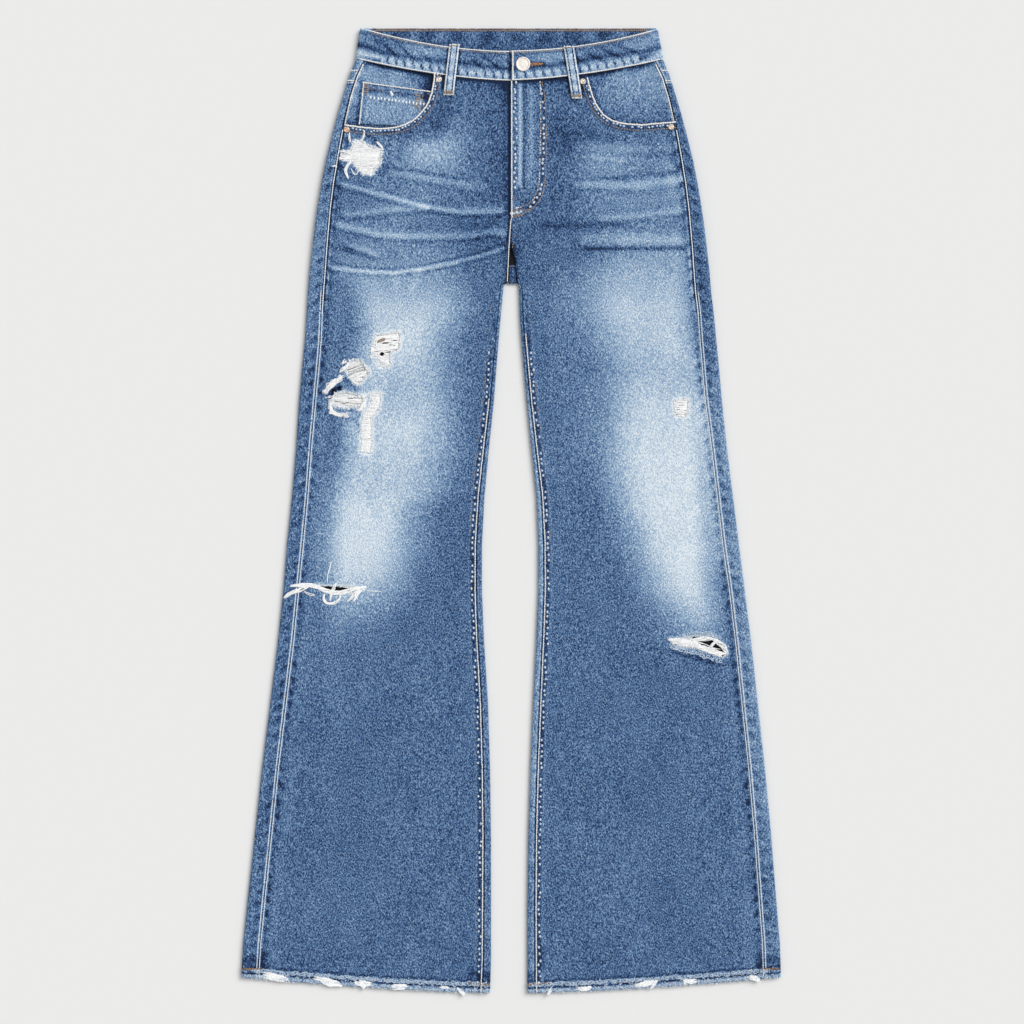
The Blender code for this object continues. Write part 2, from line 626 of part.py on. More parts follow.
def band_station(x, z, nx, nz, front):
    """One section of the waistband at a point of its centre line, with the way its outer face looks.

    front is 1 where the section is in front, 0 behind and between them at the sides.
    """
    wider = BAND_WIDER_RIGHT if x < 0.0 else BAND_WIDER_LEFT
    side = BAND_SIDE_RIGHT if x < 0.0 else BAND_SIDE_LEFT
    faces = ([], [])
    for share in BAND_EDGE_SHARE:
        at_x = x * (1.0 + wider / side * share)
        top = lerp(BAND_TOP_Y, band_top(at_x), front)
        bottom = lerp(BAND_BOTTOM_Y, band_bottom(at_x), front)
        half = BAND_THICK / 2.0 - (BAND_EDGE if share in (0.0, 1.0) else 0.0)
        y = lerp(top, bottom, share)
        faces[0].append((at_x + nx * half, y, z + nz * half))
        faces[1].append((at_x - nx * half, y, z - nz * half))
    return faces


def band_rows():
    """The two faces of the waistband, all the way round."""
    stations = [band_station(x, z, 0.0, 1.0, 1.0) for x, z in BAND_FRONT_RIGHT]
    for side, reach, turn in ((-1, BAND_SIDE_RIGHT, 1), (1, BAND_SIDE_LEFT, -1)):
        top = BAND_FRONT_RIGHT[-1][1]
        radius = (top - BAND_BACK_Z) / 2.0
        for step in range(BAND_SIDE_STEPS + 1):
            angle = turn * (math.pi / 2.0 - math.pi * step / BAND_SIDE_STEPS)
            x = side * (reach - radius - BAND_THICK / 2.0 + radius * math.cos(angle))
            z = BAND_BACK_Z + radius + radius * math.sin(angle)
            front = 0.5 + 0.5 * math.sin(angle)
            stations.append(band_station(x, z, side * math.cos(angle), math.sin(angle), front))
        if side < 0:
            stations += [band_station(x, BAND_BACK_Z, 0.0, -1.0, 0.0) for x in BAND_BACK]
    stations += [band_station(x, z, 0.0, 1.0, 1.0) for x, z in BAND_FRONT_LEFT]
    return [station[0] for station in stations], [station[1] for station in stations]


def facing_z(across, y, side):
    """The upper face of a pocket facing: level with the cloth at the outseam, and lower under the panel."""
    low = FACING_LOW_RIGHT if side < 0 else FACING_LOW_LEFT
    edge = outer_edge(y, side) - leg_at(y, "outseam")
    near = 1.0 - smooth(0.0, FACING_RISE_WIDTH, edge - across)
    above = smooth(FACING_RISE_FROM_Y, FACING_RISE_TO_Y, y)
    return lerp(low, front_z(edge, y, side) - FACING_STEP, near * above)


def facing_rows(side):
    """The two faces of a pocket facing."""
    upper = []
    lower = []
    for y, dip, inner in FACING_ROWS:
        edge = outer_edge(y, side) - leg_at(y, "outseam") - SEAM_GAP
        heights = []
        for step in range(FACING_STEPS + 1):
            across = lerp(edge, inner, (step / FACING_STEPS) ** FACING_CROWD)
            at_y = dipped(y, dip, across, leg_at(y, "out_r"))
            heights.append((side * across, at_y, facing_z(across, at_y, side)))
        upper.append(heights)
        lower.append([(x, at_y, z - POCKET_CLOTH) for x, at_y, z in heights])
    return upper, lower


def coin_rows():
    """The two faces of the coin pocket, on the right facing."""
    upper = []
    lower = []
    for y_out, y_in, out, inner in COIN_ROWS:
        heights = []
        for step in range(COIN_STEPS + 1):
            share = step / COIN_STEPS
            across = lerp(out, inner, share)
            y = lerp(y_out, y_in, share)
            heights.append((-across, y, facing_z(across, y, -1) + SEAM_GAP))
        lower.append(heights)
        upper.append([(x, y, z + POCKET_CLOTH) for x, y, z in heights])
    return upper, lower


def loop_rows(x0, y0, x1, y1):
    """The two faces of a front belt loop, arched over the waistband and down onto the panel."""
    upper = []
    lower = []
    for step in range(LOOP_STEPS + 1):
        share = step / LOOP_STEPS
        x = lerp(x0, x1, share)
        y = lerp(y0, y1, share)
        arch = LOOP_ARCH * math.sin(math.pi * share) ** LOOP_ARCH_POWER
        rests = max(band_front_z(x0), front_z(abs(x), y, 1 if x > 0.0 else -1))
        base = rests + SEAM_GAP + arch
        lower.append([(x + LOOP_WIDTH * part, y, base) for part, _ in LOOP_CROWN])
        upper.append([(x + LOOP_WIDTH * part, y, base + thick) for part, thick in LOOP_CROWN])
    return upper, lower


def weft_rows(side, pitch, rows):
    """The two faces of a worn patch's threads: each row of points is a thread, every other one lower."""
    upper = []
    lower = []
    count = max(2, int((rows[0][0] - rows[-1][0]) / pitch * 2.0))
    for thread in range(count + 1):
        y = lerp(rows[0][0], rows[-1][0], thread / count)
        x_from = row_at(rows, y, 1)
        x_to = row_at(rows, y, 2)
        tops = []
        lows = []
        for step in range(WEFT_STEPS + 1):
            x = lerp(x_from, x_to, step / WEFT_STEPS)
            z = front_z(abs(x), y, side) - CLOTH - SEAM_GAP
            tops.append((x, y, z - WEFT_RIB * (thread % 2)))
            lows.append((x, y, z - WEFT_CLOTH))
        upper.append(tops)
        lower.append(lows)
    return upper, lower


def bundle_rows():
    """The two faces of the threads over the right knee's slit."""
    upper = []
    lower = []
    for x, y, half, height in BUNDLE_ROWS:
        base = front_z(-x, y, -1) + height
        lower.append([(x, y + half * part, base + low) for part, low, _ in BUNDLE_SECTION])
        upper.append([(x, y + half * part, base + high) for part, _, high in BUNDLE_SECTION])
    return upper, lower


def hem_line(across, side):
    """The lower edge of a hem."""
    hem = dict(zip(LEG_COLUMNS, LEG_ROWS[-1]))
    return dipped(hem["y"], hem["dip"], across, hem["out_r"])


def fray_outline(side, tufts):
    """A strip just below the hem with the tufts' strands standing out of it."""
    hem = dict(zip(LEG_COLUMNS, LEG_ROWS[-1]))
    start = (hem["in_r"] if side < 0 else hem["in_l"]) + FRAY_INSET
    end = (hem["out_r"] if side < 0 else hem["out_l"]) - FRAY_INSET
    top = []
    bottom = []
    count = int((end - start) / FRAY_STEP)
    for step in range(count + 1):
        across = lerp(start, end, step / count)
        top.append((side * across, hem_line(across, side) - SEAM_GAP))
        if not any(first - TUFT_PITCH < across < last + TUFT_PITCH for first, last, _ in tufts):
            bottom.append((across, hem_line(across, side) - SEAM_GAP - FRAY_DEPTH))
    for number, (first, last, length) in enumerate(tufts):
        strands = int((last - first) / TUFT_PITCH)
        for strand in range(strands + 1):
            across = lerp(first, last, strand / strands)
            base = hem_line(across, side) - SEAM_GAP - FRAY_DEPTH
            reach = length * lerp(TUFT_SHORTEST, 1.0, math.sin(TUFT_TURN * strand + number) ** 2)
            lean = TUFT_LEAN * math.sin(TUFT_TURN * strand - number)
            bottom.append((across - TUFT_WIDTH / 2.0, base))
            bottom.append((across - TUFT_TIP / 2.0 + lean, base - reach))
            bottom.append((across + TUFT_TIP / 2.0 + lean, base - reach))
            bottom.append((across + TUFT_WIDTH / 2.0, base))
    bottom.sort(key=lambda point: point[0])
    below = [(side * across, y) for across, y in bottom]
    return top + list(reversed(below))


clear_scene()
jeans = bpy.data.collections.new("wide_leg_jeans")
bpy.context.scene.collection.children.link(jeans)
cutters = bpy.data.collections.new("cutters")
cutters.hide_render = True
bpy.context.scene.collection.children.link(cutters)

# Front panels: one wall each, with the pocket mouth and the worn patches cut through
front_panels = {}
for side_name, side in (("right", -1), ("left", 1)):
    upper_face, lower_face = front_rows(side)
    front_panels[side] = wall(
        "front_panel_" + side_name, upper_face, lower_face,
        material("front_panel_" + side_name, DENIM), jeans,
    )
for side_name, side, mouth, rips in (("right", -1, MOUTH_RIGHT, RIPS_RIGHT), ("left", 1, MOUTH_LEFT, RIPS_LEFT)):
    outside = side * (BAND_SPAN + 2.0 * MOUTH_ABOVE)
    outline = [
        *mouth,
        (outside, mouth[-1][1]),
        (outside, BAND_TOP_Y),
        (mouth[0][0], BAND_TOP_Y),
    ]
    cut(front_panels[side], make_cutter("mouth_" + side_name, outline, CUTTER_LOW, CUTTER_HIGH, cutters))
    for rip_name, outline in rips:
        name = "rip_" + side_name + "_" + rip_name
        cut(front_panels[side], make_cutter(name, outline, CUTTER_LOW, CUTTER_HIGH, cutters))

# Back panels and yokes: each wraps round the edges to the seams that show on the front
for side_name, side in (("right", -1), ("left", 1)):
    upper_face, lower_face = back_rows(side)
    wall("back_panel_" + side_name, upper_face, lower_face, material("back_panel_" + side_name, DENIM), jeans)
    upper_face, lower_face = yoke_rows(side)
    wall("yoke_" + side_name, upper_face, lower_face, material("yoke_" + side_name, DENIM), jeans)

# Waistband: one strip, its left end over its right end, with a buttonhole through the upper layer
upper_face, lower_face = band_rows()
waistband = wall("waistband", upper_face, lower_face, material("waistband", DENIM_DARK), jeans)
button_x, button_y = BUTTON_AT
turns = [2.0 * math.pi * step / BUTTONHOLE_STEPS for step in range(BUTTONHOLE_STEPS)]
hole = [
    (button_x + BUTTONHOLE_RADIUS * math.cos(turn), button_y + BUTTONHOLE_RADIUS * math.sin(turn))
    for turn in turns
]
slit = [
    (button_x, button_y - BUTTONHOLE_SLIT / 2.0),
    (BUTTONHOLE_END_X, button_y - BUTTONHOLE_SLIT / 2.0),
    (BUTTONHOLE_END_X, button_y + BUTTONHOLE_SLIT / 2.0),
    (button_x, button_y + BUTTONHOLE_SLIT / 2.0),
]
cut(waistband, make_cutter("buttonhole", hole, BUTTONHOLE_FLOOR, CUTTER_HIGH, cutters))
cut(waistband, make_cutter("buttonhole_slit", slit, BUTTONHOLE_FLOOR, CUTTER_HIGH, cutters))

# Pocket facings, coin pocket and the underlap of the fly
for side_name, side in (("right", -1), ("left", 1)):
    upper_face, lower_face = facing_rows(side)
    name = "pocket_facing_" + side_name
    wall(name, upper_face, lower_face, material(name, DENIM_DARK), jeans)
upper_face, lower_face = coin_rows()
wall("coin_pocket", upper_face, lower_face, material("coin_pocket", DENIM), jeans)
upper_face = []
lower_face = []
for y, x0, x1 in UNDERLAP_ROWS:
    line = [lerp(x0, x1, step / UNDERLAP_STEPS) for step in range(UNDERLAP_STEPS + 1)]
    upper_face.append([(x, y, UNDERLAP_TOP) for x in line])
    lower_face.append([(x, y, UNDERLAP_TOP - POCKET_CLOTH) for x in line])
wall("fly_underlap", upper_face, lower_face, material("fly_underlap", DENIM_DARK), jeans)

# Belt loops: two arched in front, three plain ones under the back
for name, x0, y0, x1, y1 in FRONT_LOOPS:
    upper_face, lower_face = loop_rows(x0, y0, x1, y1)
    wall(name, upper_face, lower_face, material(name, DENIM_PALE), jeans)
for name, x in BACK_LOOPS:
    half = LOOP_WIDTH / 2.0
    outline = [
        (x - half, BACK_LOOP_BOTTOM_Y),
        (x + half, BACK_LOOP_BOTTOM_Y),
        (x + half, BACK_LOOP_TOP_Y),
        (x - half, BACK_LOOP_TOP_Y),
    ]
    slab(name, outline, 0.0, SEAT_LIFT - SEAM_GAP, material(name, DENIM_PALE), jeans)

# Back patch pockets, flat under the seat
for side_name, side in (("right", -1), ("left", 1)):
    outline = [(side * across, y) for across, y in BACK_POCKET]
    name = "back_pocket_" + side_name
    pocket = slab(name, outline, 0.0, SEAT_LIFT - SEAM_GAP, material(name, DENIM), jeans)
    bevel = pocket.modifiers.new("edges", "BEVEL")
    bevel.width = BACK_POCKET_BEVEL * MM
    bevel.segments = 1

# Button and rivets
button_metal = material("waist_button", METAL, 0.35, 1.0)
lathe("waist_button", BUTTON_PROFILE, (button_x, button_y, 0.0), BUTTON_STEPS, button_metal, jeans)
for name, x, y in RIVETS:
    z = front_z(abs(x), y, 1 if x > 0.0 else -1) + RIVET_CLEAR
    lathe(name, RIVET_PROFILE, (x, y, z), RIVET_STEPS, material(name, COPPER, 0.4, 1.0), jeans)

# White threads of the worn patches
for name, side, pitch, rows in WEFTS:
    upper_face, lower_face = weft_rows(side, pitch, rows)
    patch = wall(name, upper_face, lower_face, material(name, COTTON), jeans)
    if name == "weft_knee_left":
        cut(patch, make_cutter("knee_gap", KNEE_GAP, CUTTER_LOW, CUTTER_HIGH, cutters))
upper_face, lower_face = bundle_rows()
wall("knee_threads_right", upper_face, lower_face, material("knee_threads_right", COTTON), jeans)

# Frayed hems
for side_name, side, tufts in (("right", -1, TUFTS_RIGHT), ("left", 1, TUFTS_LEFT)):
    name = "hem_fray_" + side_name
    slab(name, fray_outline(side, tufts), FRAY_Z, FRAY_Z + FRAY_THICK, material(name, COTTON), jeans)
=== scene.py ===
import math

import bmesh
import bpy
import numpy as np
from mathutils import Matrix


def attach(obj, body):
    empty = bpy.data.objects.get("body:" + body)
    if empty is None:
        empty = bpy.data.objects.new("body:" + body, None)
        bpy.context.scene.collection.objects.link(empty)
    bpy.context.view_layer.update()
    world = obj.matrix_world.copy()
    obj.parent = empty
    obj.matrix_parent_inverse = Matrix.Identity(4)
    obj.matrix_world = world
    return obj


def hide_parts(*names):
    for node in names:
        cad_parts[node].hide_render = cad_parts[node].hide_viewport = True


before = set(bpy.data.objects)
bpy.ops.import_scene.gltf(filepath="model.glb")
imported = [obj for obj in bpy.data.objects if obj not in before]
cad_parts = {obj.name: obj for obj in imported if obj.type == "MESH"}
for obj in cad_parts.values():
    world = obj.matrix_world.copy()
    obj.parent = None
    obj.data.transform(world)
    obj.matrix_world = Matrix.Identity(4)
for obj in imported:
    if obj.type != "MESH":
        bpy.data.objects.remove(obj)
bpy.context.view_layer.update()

MM = 0.001  # lengths below are in millimetres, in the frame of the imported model

# ---- The table, the light and the camera
# The jeans lie on a plain pale table. One wide soft lamp stands at the upper right and the rest is even light from
# the room. The camera looks straight down on them through a long lens.
LENS = 85.0
SENSOR = 36.0
VIEW_WIDTH = 1167.0  # what the photograph's frame covers at the height of the cloth
VIEW_CENTRE = (1.1, -1.7)
CLOTH_HEIGHT = 5.0
TABLE_SIZE = 40000.0
TABLE_COLOUR = "#eaeae9"
LAMP_TILT = (math.radians(-26.0), math.radians(40.0), 0.0)
LAMP_SPREAD = math.radians(38.0)
LAMP_STRENGTH = 2.16
ROOM_STRENGTH = 0.54
ROOM_COLOUR = "#ffffff"


def linear(code):
    """A linear colour, with alpha, from an sRGB hex value."""
    parts = [int(code[i:i + 2], 16) / 255.0 for i in (1, 3, 5)]
    return (*(p / 12.92 if p <= 0.04045 else ((p + 0.055) / 1.055) ** 2.4 for p in parts), 1.0)


def add_node(tree, kind, settings=None, inputs=None):
    """Adds a shader node, sets its properties, and sets or links its inputs."""
    made = tree.nodes.new("ShaderNode" + kind)
    for name, value in (settings or {}).items():
        setattr(made, name, value)
    for name, value in (inputs or {}).items():
        if isinstance(value, bpy.types.NodeSocket):
            tree.links.new(value, made.inputs[name])
        else:
            made.inputs[name].default_value = value
    return made


def new_material(name):
    """An empty node material and its tree."""
    made = bpy.data.materials.new(name)
    made.use_nodes = True
    made.node_tree.nodes.clear()
    return made, made.node_tree


def finish_material(tree, surface, bump=None):
    """Joins a Principled node to the output, with its bump."""
    if bump is not None:
        tree.links.new(bump, surface.inputs["Normal"])
    add_node(tree, "OutputMaterial", inputs={"Surface": surface.outputs[0]})


camera = bpy.data.objects.new("camera", bpy.data.cameras.new("camera"))
camera.data.lens = LENS
camera.data.sensor_width = SENSOR
camera.location = (
    VIEW_CENTRE[0] * MM, VIEW_CENTRE[1] * MM, (CLOTH_HEIGHT + VIEW_WIDTH * LENS / SENSOR) * MM,
)
camera.data.clip_end = 100.0
bpy.context.scene.collection.objects.link(camera)
bpy.context.scene.camera = camera
bpy.context.scene.view_settings.view_transform = "Standard"

lamp = bpy.data.objects.new("lamp", bpy.data.lights.new("lamp", "SUN"))
lamp.data.energy = LAMP_STRENGTH
lamp.data.angle = LAMP_SPREAD
lamp.rotation_euler = LAMP_TILT
bpy.context.scene.collection.objects.link(lamp)
room = bpy.data.worlds.new("room")
room.use_nodes = True
room.node_tree.nodes["Background"].inputs["Color"].default_value = linear(ROOM_COLOUR)
room.node_tree.nodes["Background"].inputs["Strength"].default_value = ROOM_STRENGTH
bpy.context.scene.world = room

# painted card: dead matt, with a trace of tooth
card, tree = new_material("painted card")
tooth = add_node(tree, "TexNoise", inputs={"Scale": 900.0, "Detail": 2.0})
card_bump = add_node(tree, "Bump", inputs={"Height": tooth.outputs["Fac"], "Strength": 0.05, "Distance": 0.0002})
finish_material(
    tree,
    add_node(tree, "BsdfPrincipled", inputs={"Base Color": linear(TABLE_COLOUR), "Roughness": 1.0}),
    card_bump.outputs["Normal"],
)
bm = bmesh.new()
bmesh.ops.create_grid(bm, x_segments=1, y_segments=1, size=TABLE_SIZE / 2.0 * MM)
table = bpy.data.objects.new("table", bpy.data.meshes.new("table"))
bm.to_mesh(table.data)
bm.free()
table.data.materials.append(card)
bpy.context.scene.collection.objects.link(table)

# ---- Back panels
# Each leg's back is one piece of washed denim. It lies flat on the table and turns up round both edges of the leg, so
# that its margins show on the front up to the side seam and the inside seam.
SIDES = (("right", -1), ("left", 1))  # the wearer's right has negative x
CLOTH = 1.2
SEAM_GAP = 0.3
HEM_EXTRA = 0.8
PANEL_TOP_Y, YOKE_FOOT_Y, BACK_TOP_Y = 514.1, 485.3, 485.0
SEAT_LIFT = 1.5  # the seat lies on its pockets and loops
SEAT_FROM_Y, SEAT_TO_Y = 240.0, 280.0
LEG_TOP, HIP_TOP = 4.0, 6.8  # the upper face of the front, along a leg's middle and over the pockets
TOP_FROM_Y, TOP_TO_Y = 235.0, 320.0
EDGE_RISE, EDGE_RISE_HIP, EDGE_WIDTH = 1.5, 0.5, 15.0
FLY_LIFT, FLY_WIDTH, FLY_FADE = 1.6, 30.0, 16.0  # the left front lies on the right one along the fly
FLY_FULL_Y, FLY_END_Y = 335.0, 290.0
CROTCH_Y, CROTCH_FADE = 259.4, 12.0
CROTCH_TO_LEG = (262.0, 257.0)
DIP_POWER, BACK_DIP_POWER = 1.6, 1.1
CENTRE_GAP, TAIL = 0.2, 15.0
FAR_OFF = 40.0  # stands for any distance at which a seam no longer shows
# Sections of the body and legs: outlines, how far in the seams lie, how much lower the front runs at the centre,
# and 1 where the hem is turned up.
LEG_COLUMNS = ("y", "out_r", "in_r", "in_l", "out_l", "outseam", "inseam", "dip", "hem")
LEG_ROWS = np.array((
    (514.1, 177.0, 0.0, 0.0, 173.5, 9.0, 0.0, 25.0, 0), (494.0, 184.8, 0.0, 0.0, 181.6, 8.0, 0.0, 18.0, 0),
    (472.5, 191.5, 0.0, 0.0, 188.1, 8.0, 0.0, 11.0, 0), (452.0, 197.6, 0.0, 0.0, 194.2, 9.0, 0.0, 6.0, 0),
    (430.0, 203.4, 0.0, 0.0, 200.0, 10.0, 0.0, 2.0, 0), (399.6, 210.9, 0.0, 0.0, 207.5, 12.0, 0.0, 0.0, 0),
    (372.0, 216.3, 0.0, 0.0, 212.9, 13.0, 0.0, 0.0, 0), (345.0, 220.8, 0.0, 0.0, 217.4, 14.0, 0.0, 0.0, 0),
    (325.0, 223.6, 0.0, 0.0, 220.2, 15.0, 0.0, 0.0, 0), (295.0, 227.2, 0.0, 0.0, 223.8, 16.0, 0.0, 0.0, 0),
    (270.0, 230.0, 0.0, 0.0, 226.6, 17.0, 0.0, 0.0, 0), (262.0, 230.6, 0.0, 0.0, 227.2, 17.0, 0.0, 0.0, 0),
    (257.0, 231.1, 8.4, 8.6, 227.6, 17.0, 3.6, 0.0, 0), (246.0, 232.0, 9.4, 9.4, 228.6, 17.0, 3.6, 0.0, 0),
    (222.0, 233.5, 11.6, 10.0, 231.6, 17.0, 3.6, 0.0, 0), (198.9, 234.8, 13.7, 11.4, 233.7, 17.5, 3.6, 0.0, 0),
    (163.0, 238.2, 16.6, 14.4, 237.2, 18.0, 3.8, 0.0, 0), (126.0, 241.7, 19.4, 17.6, 240.5, 18.0, 4.0, 0.0, 0),
    (71.3, 245.1, 25.1, 23.0, 246.2, 16.5, 4.6, 0.0, 0), (16.5, 249.7, 30.2, 28.7, 253.1, 17.0, 5.6, 0.0, 0),
    (-38.2, 255.4, 33.1, 31.0, 259.9, 17.5, 6.0, 0.0, 0), (-92.9, 259.9, 33.1, 31.0, 266.8, 16.5, 6.2, 0.0, 0),
    (-147.6, 265.6, 30.8, 28.7, 273.6, 16.8, 6.6, 0.0, 0), (-220.6, 274.7, 26.2, 25.1, 281.6, 17.2, 7.0, 0.0, 0),
    (-293.6, 283.9, 23.9, 21.9, 289.6, 17.6, 7.2, 2.0, 0), (-366.5, 291.8, 22.8, 19.6, 296.4, 18.0, 7.6, 7.0, 0),
    (-439.5, 299.8, 22.8, 18.6, 302.1, 18.4, 8.0, 13.0, 0), (-494.2, 305.5, 22.8, 18.6, 306.7, 18.8, 8.4, 17.0, 0),
    (-521.4, 307.2, 23.6, 18.6, 307.6, 19.0, 8.6, 18.2, 0), (-522.2, 307.2, 23.6, 18.6, 307.6, 19.0, 8.6, 18.2, 1),
    (-531.8, 307.8, 23.9, 18.6, 307.8, 19.0, 8.8, 18.2, 1),
))
HEM_Y = -531.8
SEAT_END_Y = 350.0  # above this the back's top edge follows its own rows
SEAT_ROWS = np.array(((485.0, 55.0), (458.0, 43.0), (430.0, 30.0), (399.6, 15.0), (366.0, 4.0), (350.0, 0.0)))
# Soft folds of the front, as ridges from one point to another.
FOLDS = (
    (-205.0, 372.0, -60.0, 318.0, 13.0, 0.7), (-215.0, 312.0, -70.0, 280.0, 13.0, 0.6),
    (-222.0, 250.0, -90.0, 236.0, 14.0, 0.5), (200.0, 372.0, 70.0, 322.0, 13.0, 0.7),
    (214.0, 306.0, 75.0, 276.0, 13.0, 0.6), (222.0, 240.0, 95.0, 232.0, 14.0, 0.5),
    (-190.0, -40.0, -90.0, -75.0, 20.0, 0.7), (-200.0, -160.0, -100.0, -130.0, 20.0, 0.6),
    (100.0, -110.0, 215.0, -70.0, 20.0, 0.7), (95.0, -220.0, 220.0, -200.0, 20.0, 0.6),
    (-165.0, -250.0, -195.0, -470.0, 24.0, 0.8), (160.0, -270.0, 190.0, -480.0, 24.0, 0.8),
)
PUCKER_PITCH = 16.0  # the side seam's allowance makes a pucker this often
SEAM_CHANGE_Y = (210.0, 250.0)  # the side seam is pale below this and dark above it
# How worn the cloth is where nothing more is said: 0 is raw indigo and 1 is bleached out.
PLAIN_WEAR = 0.30


def smooth(start, end, value):
    """0 at start, 1 at end, eased between."""
    share = np.clip((value - start) / (end - start), 0.0, 1.0)
    return share * share * (3.0 - 2.0 * share)


def lerp(a, b, share):
    """The value that share of the way from a to b."""
    return a + (b - a) * share


def read(rows, at, *columns):
    """These columns of a table whose first column falls from row to row, where that column has this value."""
    return [np.interp(-at, -rows[:, 0], rows[:, i]) for i in columns]


def leg(y, name):
    """A column of LEG_ROWS at height y."""
    return read(LEG_ROWS, y, LEG_COLUMNS.index(name))[0]


def outer_edge(y, side):
    """The outer outline of the body or leg."""
    return leg(y, "out_r" if side < 0 else "out_l")


def inner_edge(y, side):
    """The inner outline of a leg."""
    return leg(y, "in_r" if side < 0 else "in_l")


def side_seam(y, side):
    """Where the margin of the back ends on the front."""
    return outer_edge(y, side) - leg(y, "outseam")


def front_edge(y, side):
    """The outer edge of a front, one gap from the margin of the back."""
    return side_seam(y, side) - SEAM_GAP


def bump_at(distance, width):
    """A soft rise that is 1 at no distance and dies out over width."""
    return np.exp(-((distance / width) ** 2))


def bands(distance, *rows):
    """Soft bands along an edge. Each row says how pale or high, how far from the edge and how wide."""
    return sum(tone * bump_at(distance - at, width) for tone, at, width in rows)


def away_from(x, y, points):
    """How far each place is from a line through these points, and the nearest place on it."""
    best, at_x, at_y = np.full(np.shape(x), 1e9), np.zeros(np.shape(x)), np.zeros(np.shape(x))
    for (x0, y0), (x1, y1) in zip(points, points[1:]):
        along = (x1 - x0, y1 - y0)
        share = ((x - x0) * along[0] + (y - y0) * along[1]) / (along[0] ** 2 + along[1] ** 2)
        share = np.clip(share, 0.0, 1.0)
        near = (x0 + share * along[0], y0 + share * along[1])
        distance = np.hypot(x - near[0], y - near[1])
        closer = distance < best
        best, at_x, at_y = (np.where(closer, new, old) for new, old in zip((distance, *near), (best, at_x, at_y)))
    return best, at_x, at_y


def front_z(across, y, side):
    """The upper face of the front at this distance from the centre line, as the solids have it."""
    high = smooth(TOP_FROM_Y, TOP_TO_Y, y)
    rise = lerp(EDGE_RISE, EDGE_RISE_HIP, high)
    z = lerp(LEG_TOP, HIP_TOP, high) + rise * bump_at(outer_edge(y, side) - across, EDGE_WIDTH)
    z = z + rise * (1.0 - smooth(CROTCH_Y - CROTCH_FADE, CROTCH_Y, y)) * bump_at(
        across - inner_edge(y, side), EDGE_WIDTH
    )
    if side > 0:
        fly = 1.0 - smooth(FLY_WIDTH, FLY_WIDTH + FLY_FADE, across)
        z = z + FLY_LIFT * fly * smooth(FLY_END_Y, FLY_FULL_Y, y)
    for x0, y0, x1, y1, width, height in FOLDS:
        z = z + height * bump_at(away_from(side * across, y, ((x0, y0), (x1, y1)))[0], width)
    return z


def dipped(y, dip, across, outer, power=DIP_POWER):
    """The height of a row that runs lower towards the centre line."""
    return y - dip * (1.0 - np.minimum(1.0, np.abs(across) / outer) ** power)


def puckers(y, from_seam, reach, pitch=PUCKER_PITCH):
    """The ripple beside a seam, from -1 to 1, uneven along it."""
    wave = np.sin(2.0 * math.pi * y / pitch + 1.3 * np.sin(y / 37.0) + 0.9 * np.sin(y / 11.3))
    return wave * (0.65 + 0.35 * np.sin(y / 23.0)) * bump_at(from_seam, reach)


def blotches(y, from_seam, reach):
    """The small dark hollows between the puckers beside a seam, from 0 to 1."""
    wave = np.sin(2.0 * math.pi * y / PUCKER_PITCH + 1.3 * np.sin(y / 37.0) + 0.9 * np.sin(y / 11.3) + 0.25 * from_seam)
    return smooth(0.15, 0.75, wave) * (0.75 + 0.25 * np.sin(y / 19.0)) * bump_at(from_seam, reach)


def seam_edge_z(from_edge):
    """How much lower the cloth lies where it is turned in at a seam."""
    return -0.30 * bump_at(from_edge, 0.8)


def hip_seam_wear(from_edge):
    """Beside the side seam on the hip: a black line inside the stitching and a pale ridge beyond it."""
    return bands(from_edge, (0.34, 4.4, 1.5), (-0.5, 2.2, 0.8))


def seam_edge_wear(from_edge, pale=0.32, dark=0.42):
    """Dark in the seam itself and pale on the ridge beside it."""
    return bands(from_edge, (pale, 1.5, 0.9), (-dark, 0.0, 0.7))


def hem_wear(height, x):
    """The cut hem: bleached and combed out below, then a dark fold, then a pale roll that curls over it."""
    bleached = 0.36 * (1.0 - smooth(3.6, 5.4, height)) * (0.75 + 0.25 * np.sin(x / 1.7))
    above_fold = height - (6.1 + 0.5 * np.sin(x / 9.0) + 0.4 * np.sin(x / 3.7))
    roll = 0.20 + 0.12 * np.sin(x / 1.3)
    roll_top = 7.2 + 0.7 * np.sin(x / 2.1)
    return bleached + bands(above_fold, (-0.55, 0.0, 0.8), (roll, 3.2, 2.3), (-0.24, roll_top, 1.3))


def inside(x, y, outline):
    """True where a place lies within this outline."""
    odd = np.zeros(x.shape, bool)
    for (x0, y0), (x1, y1) in zip(outline, tuple(outline[1:]) + (outline[0],)):
        if y0 != y1:
            odd ^= ((y0 > y) != (y1 > y)) & (x < (x1 - x0) * (y - y0) / (y1 - y0) + x0)
    return odd


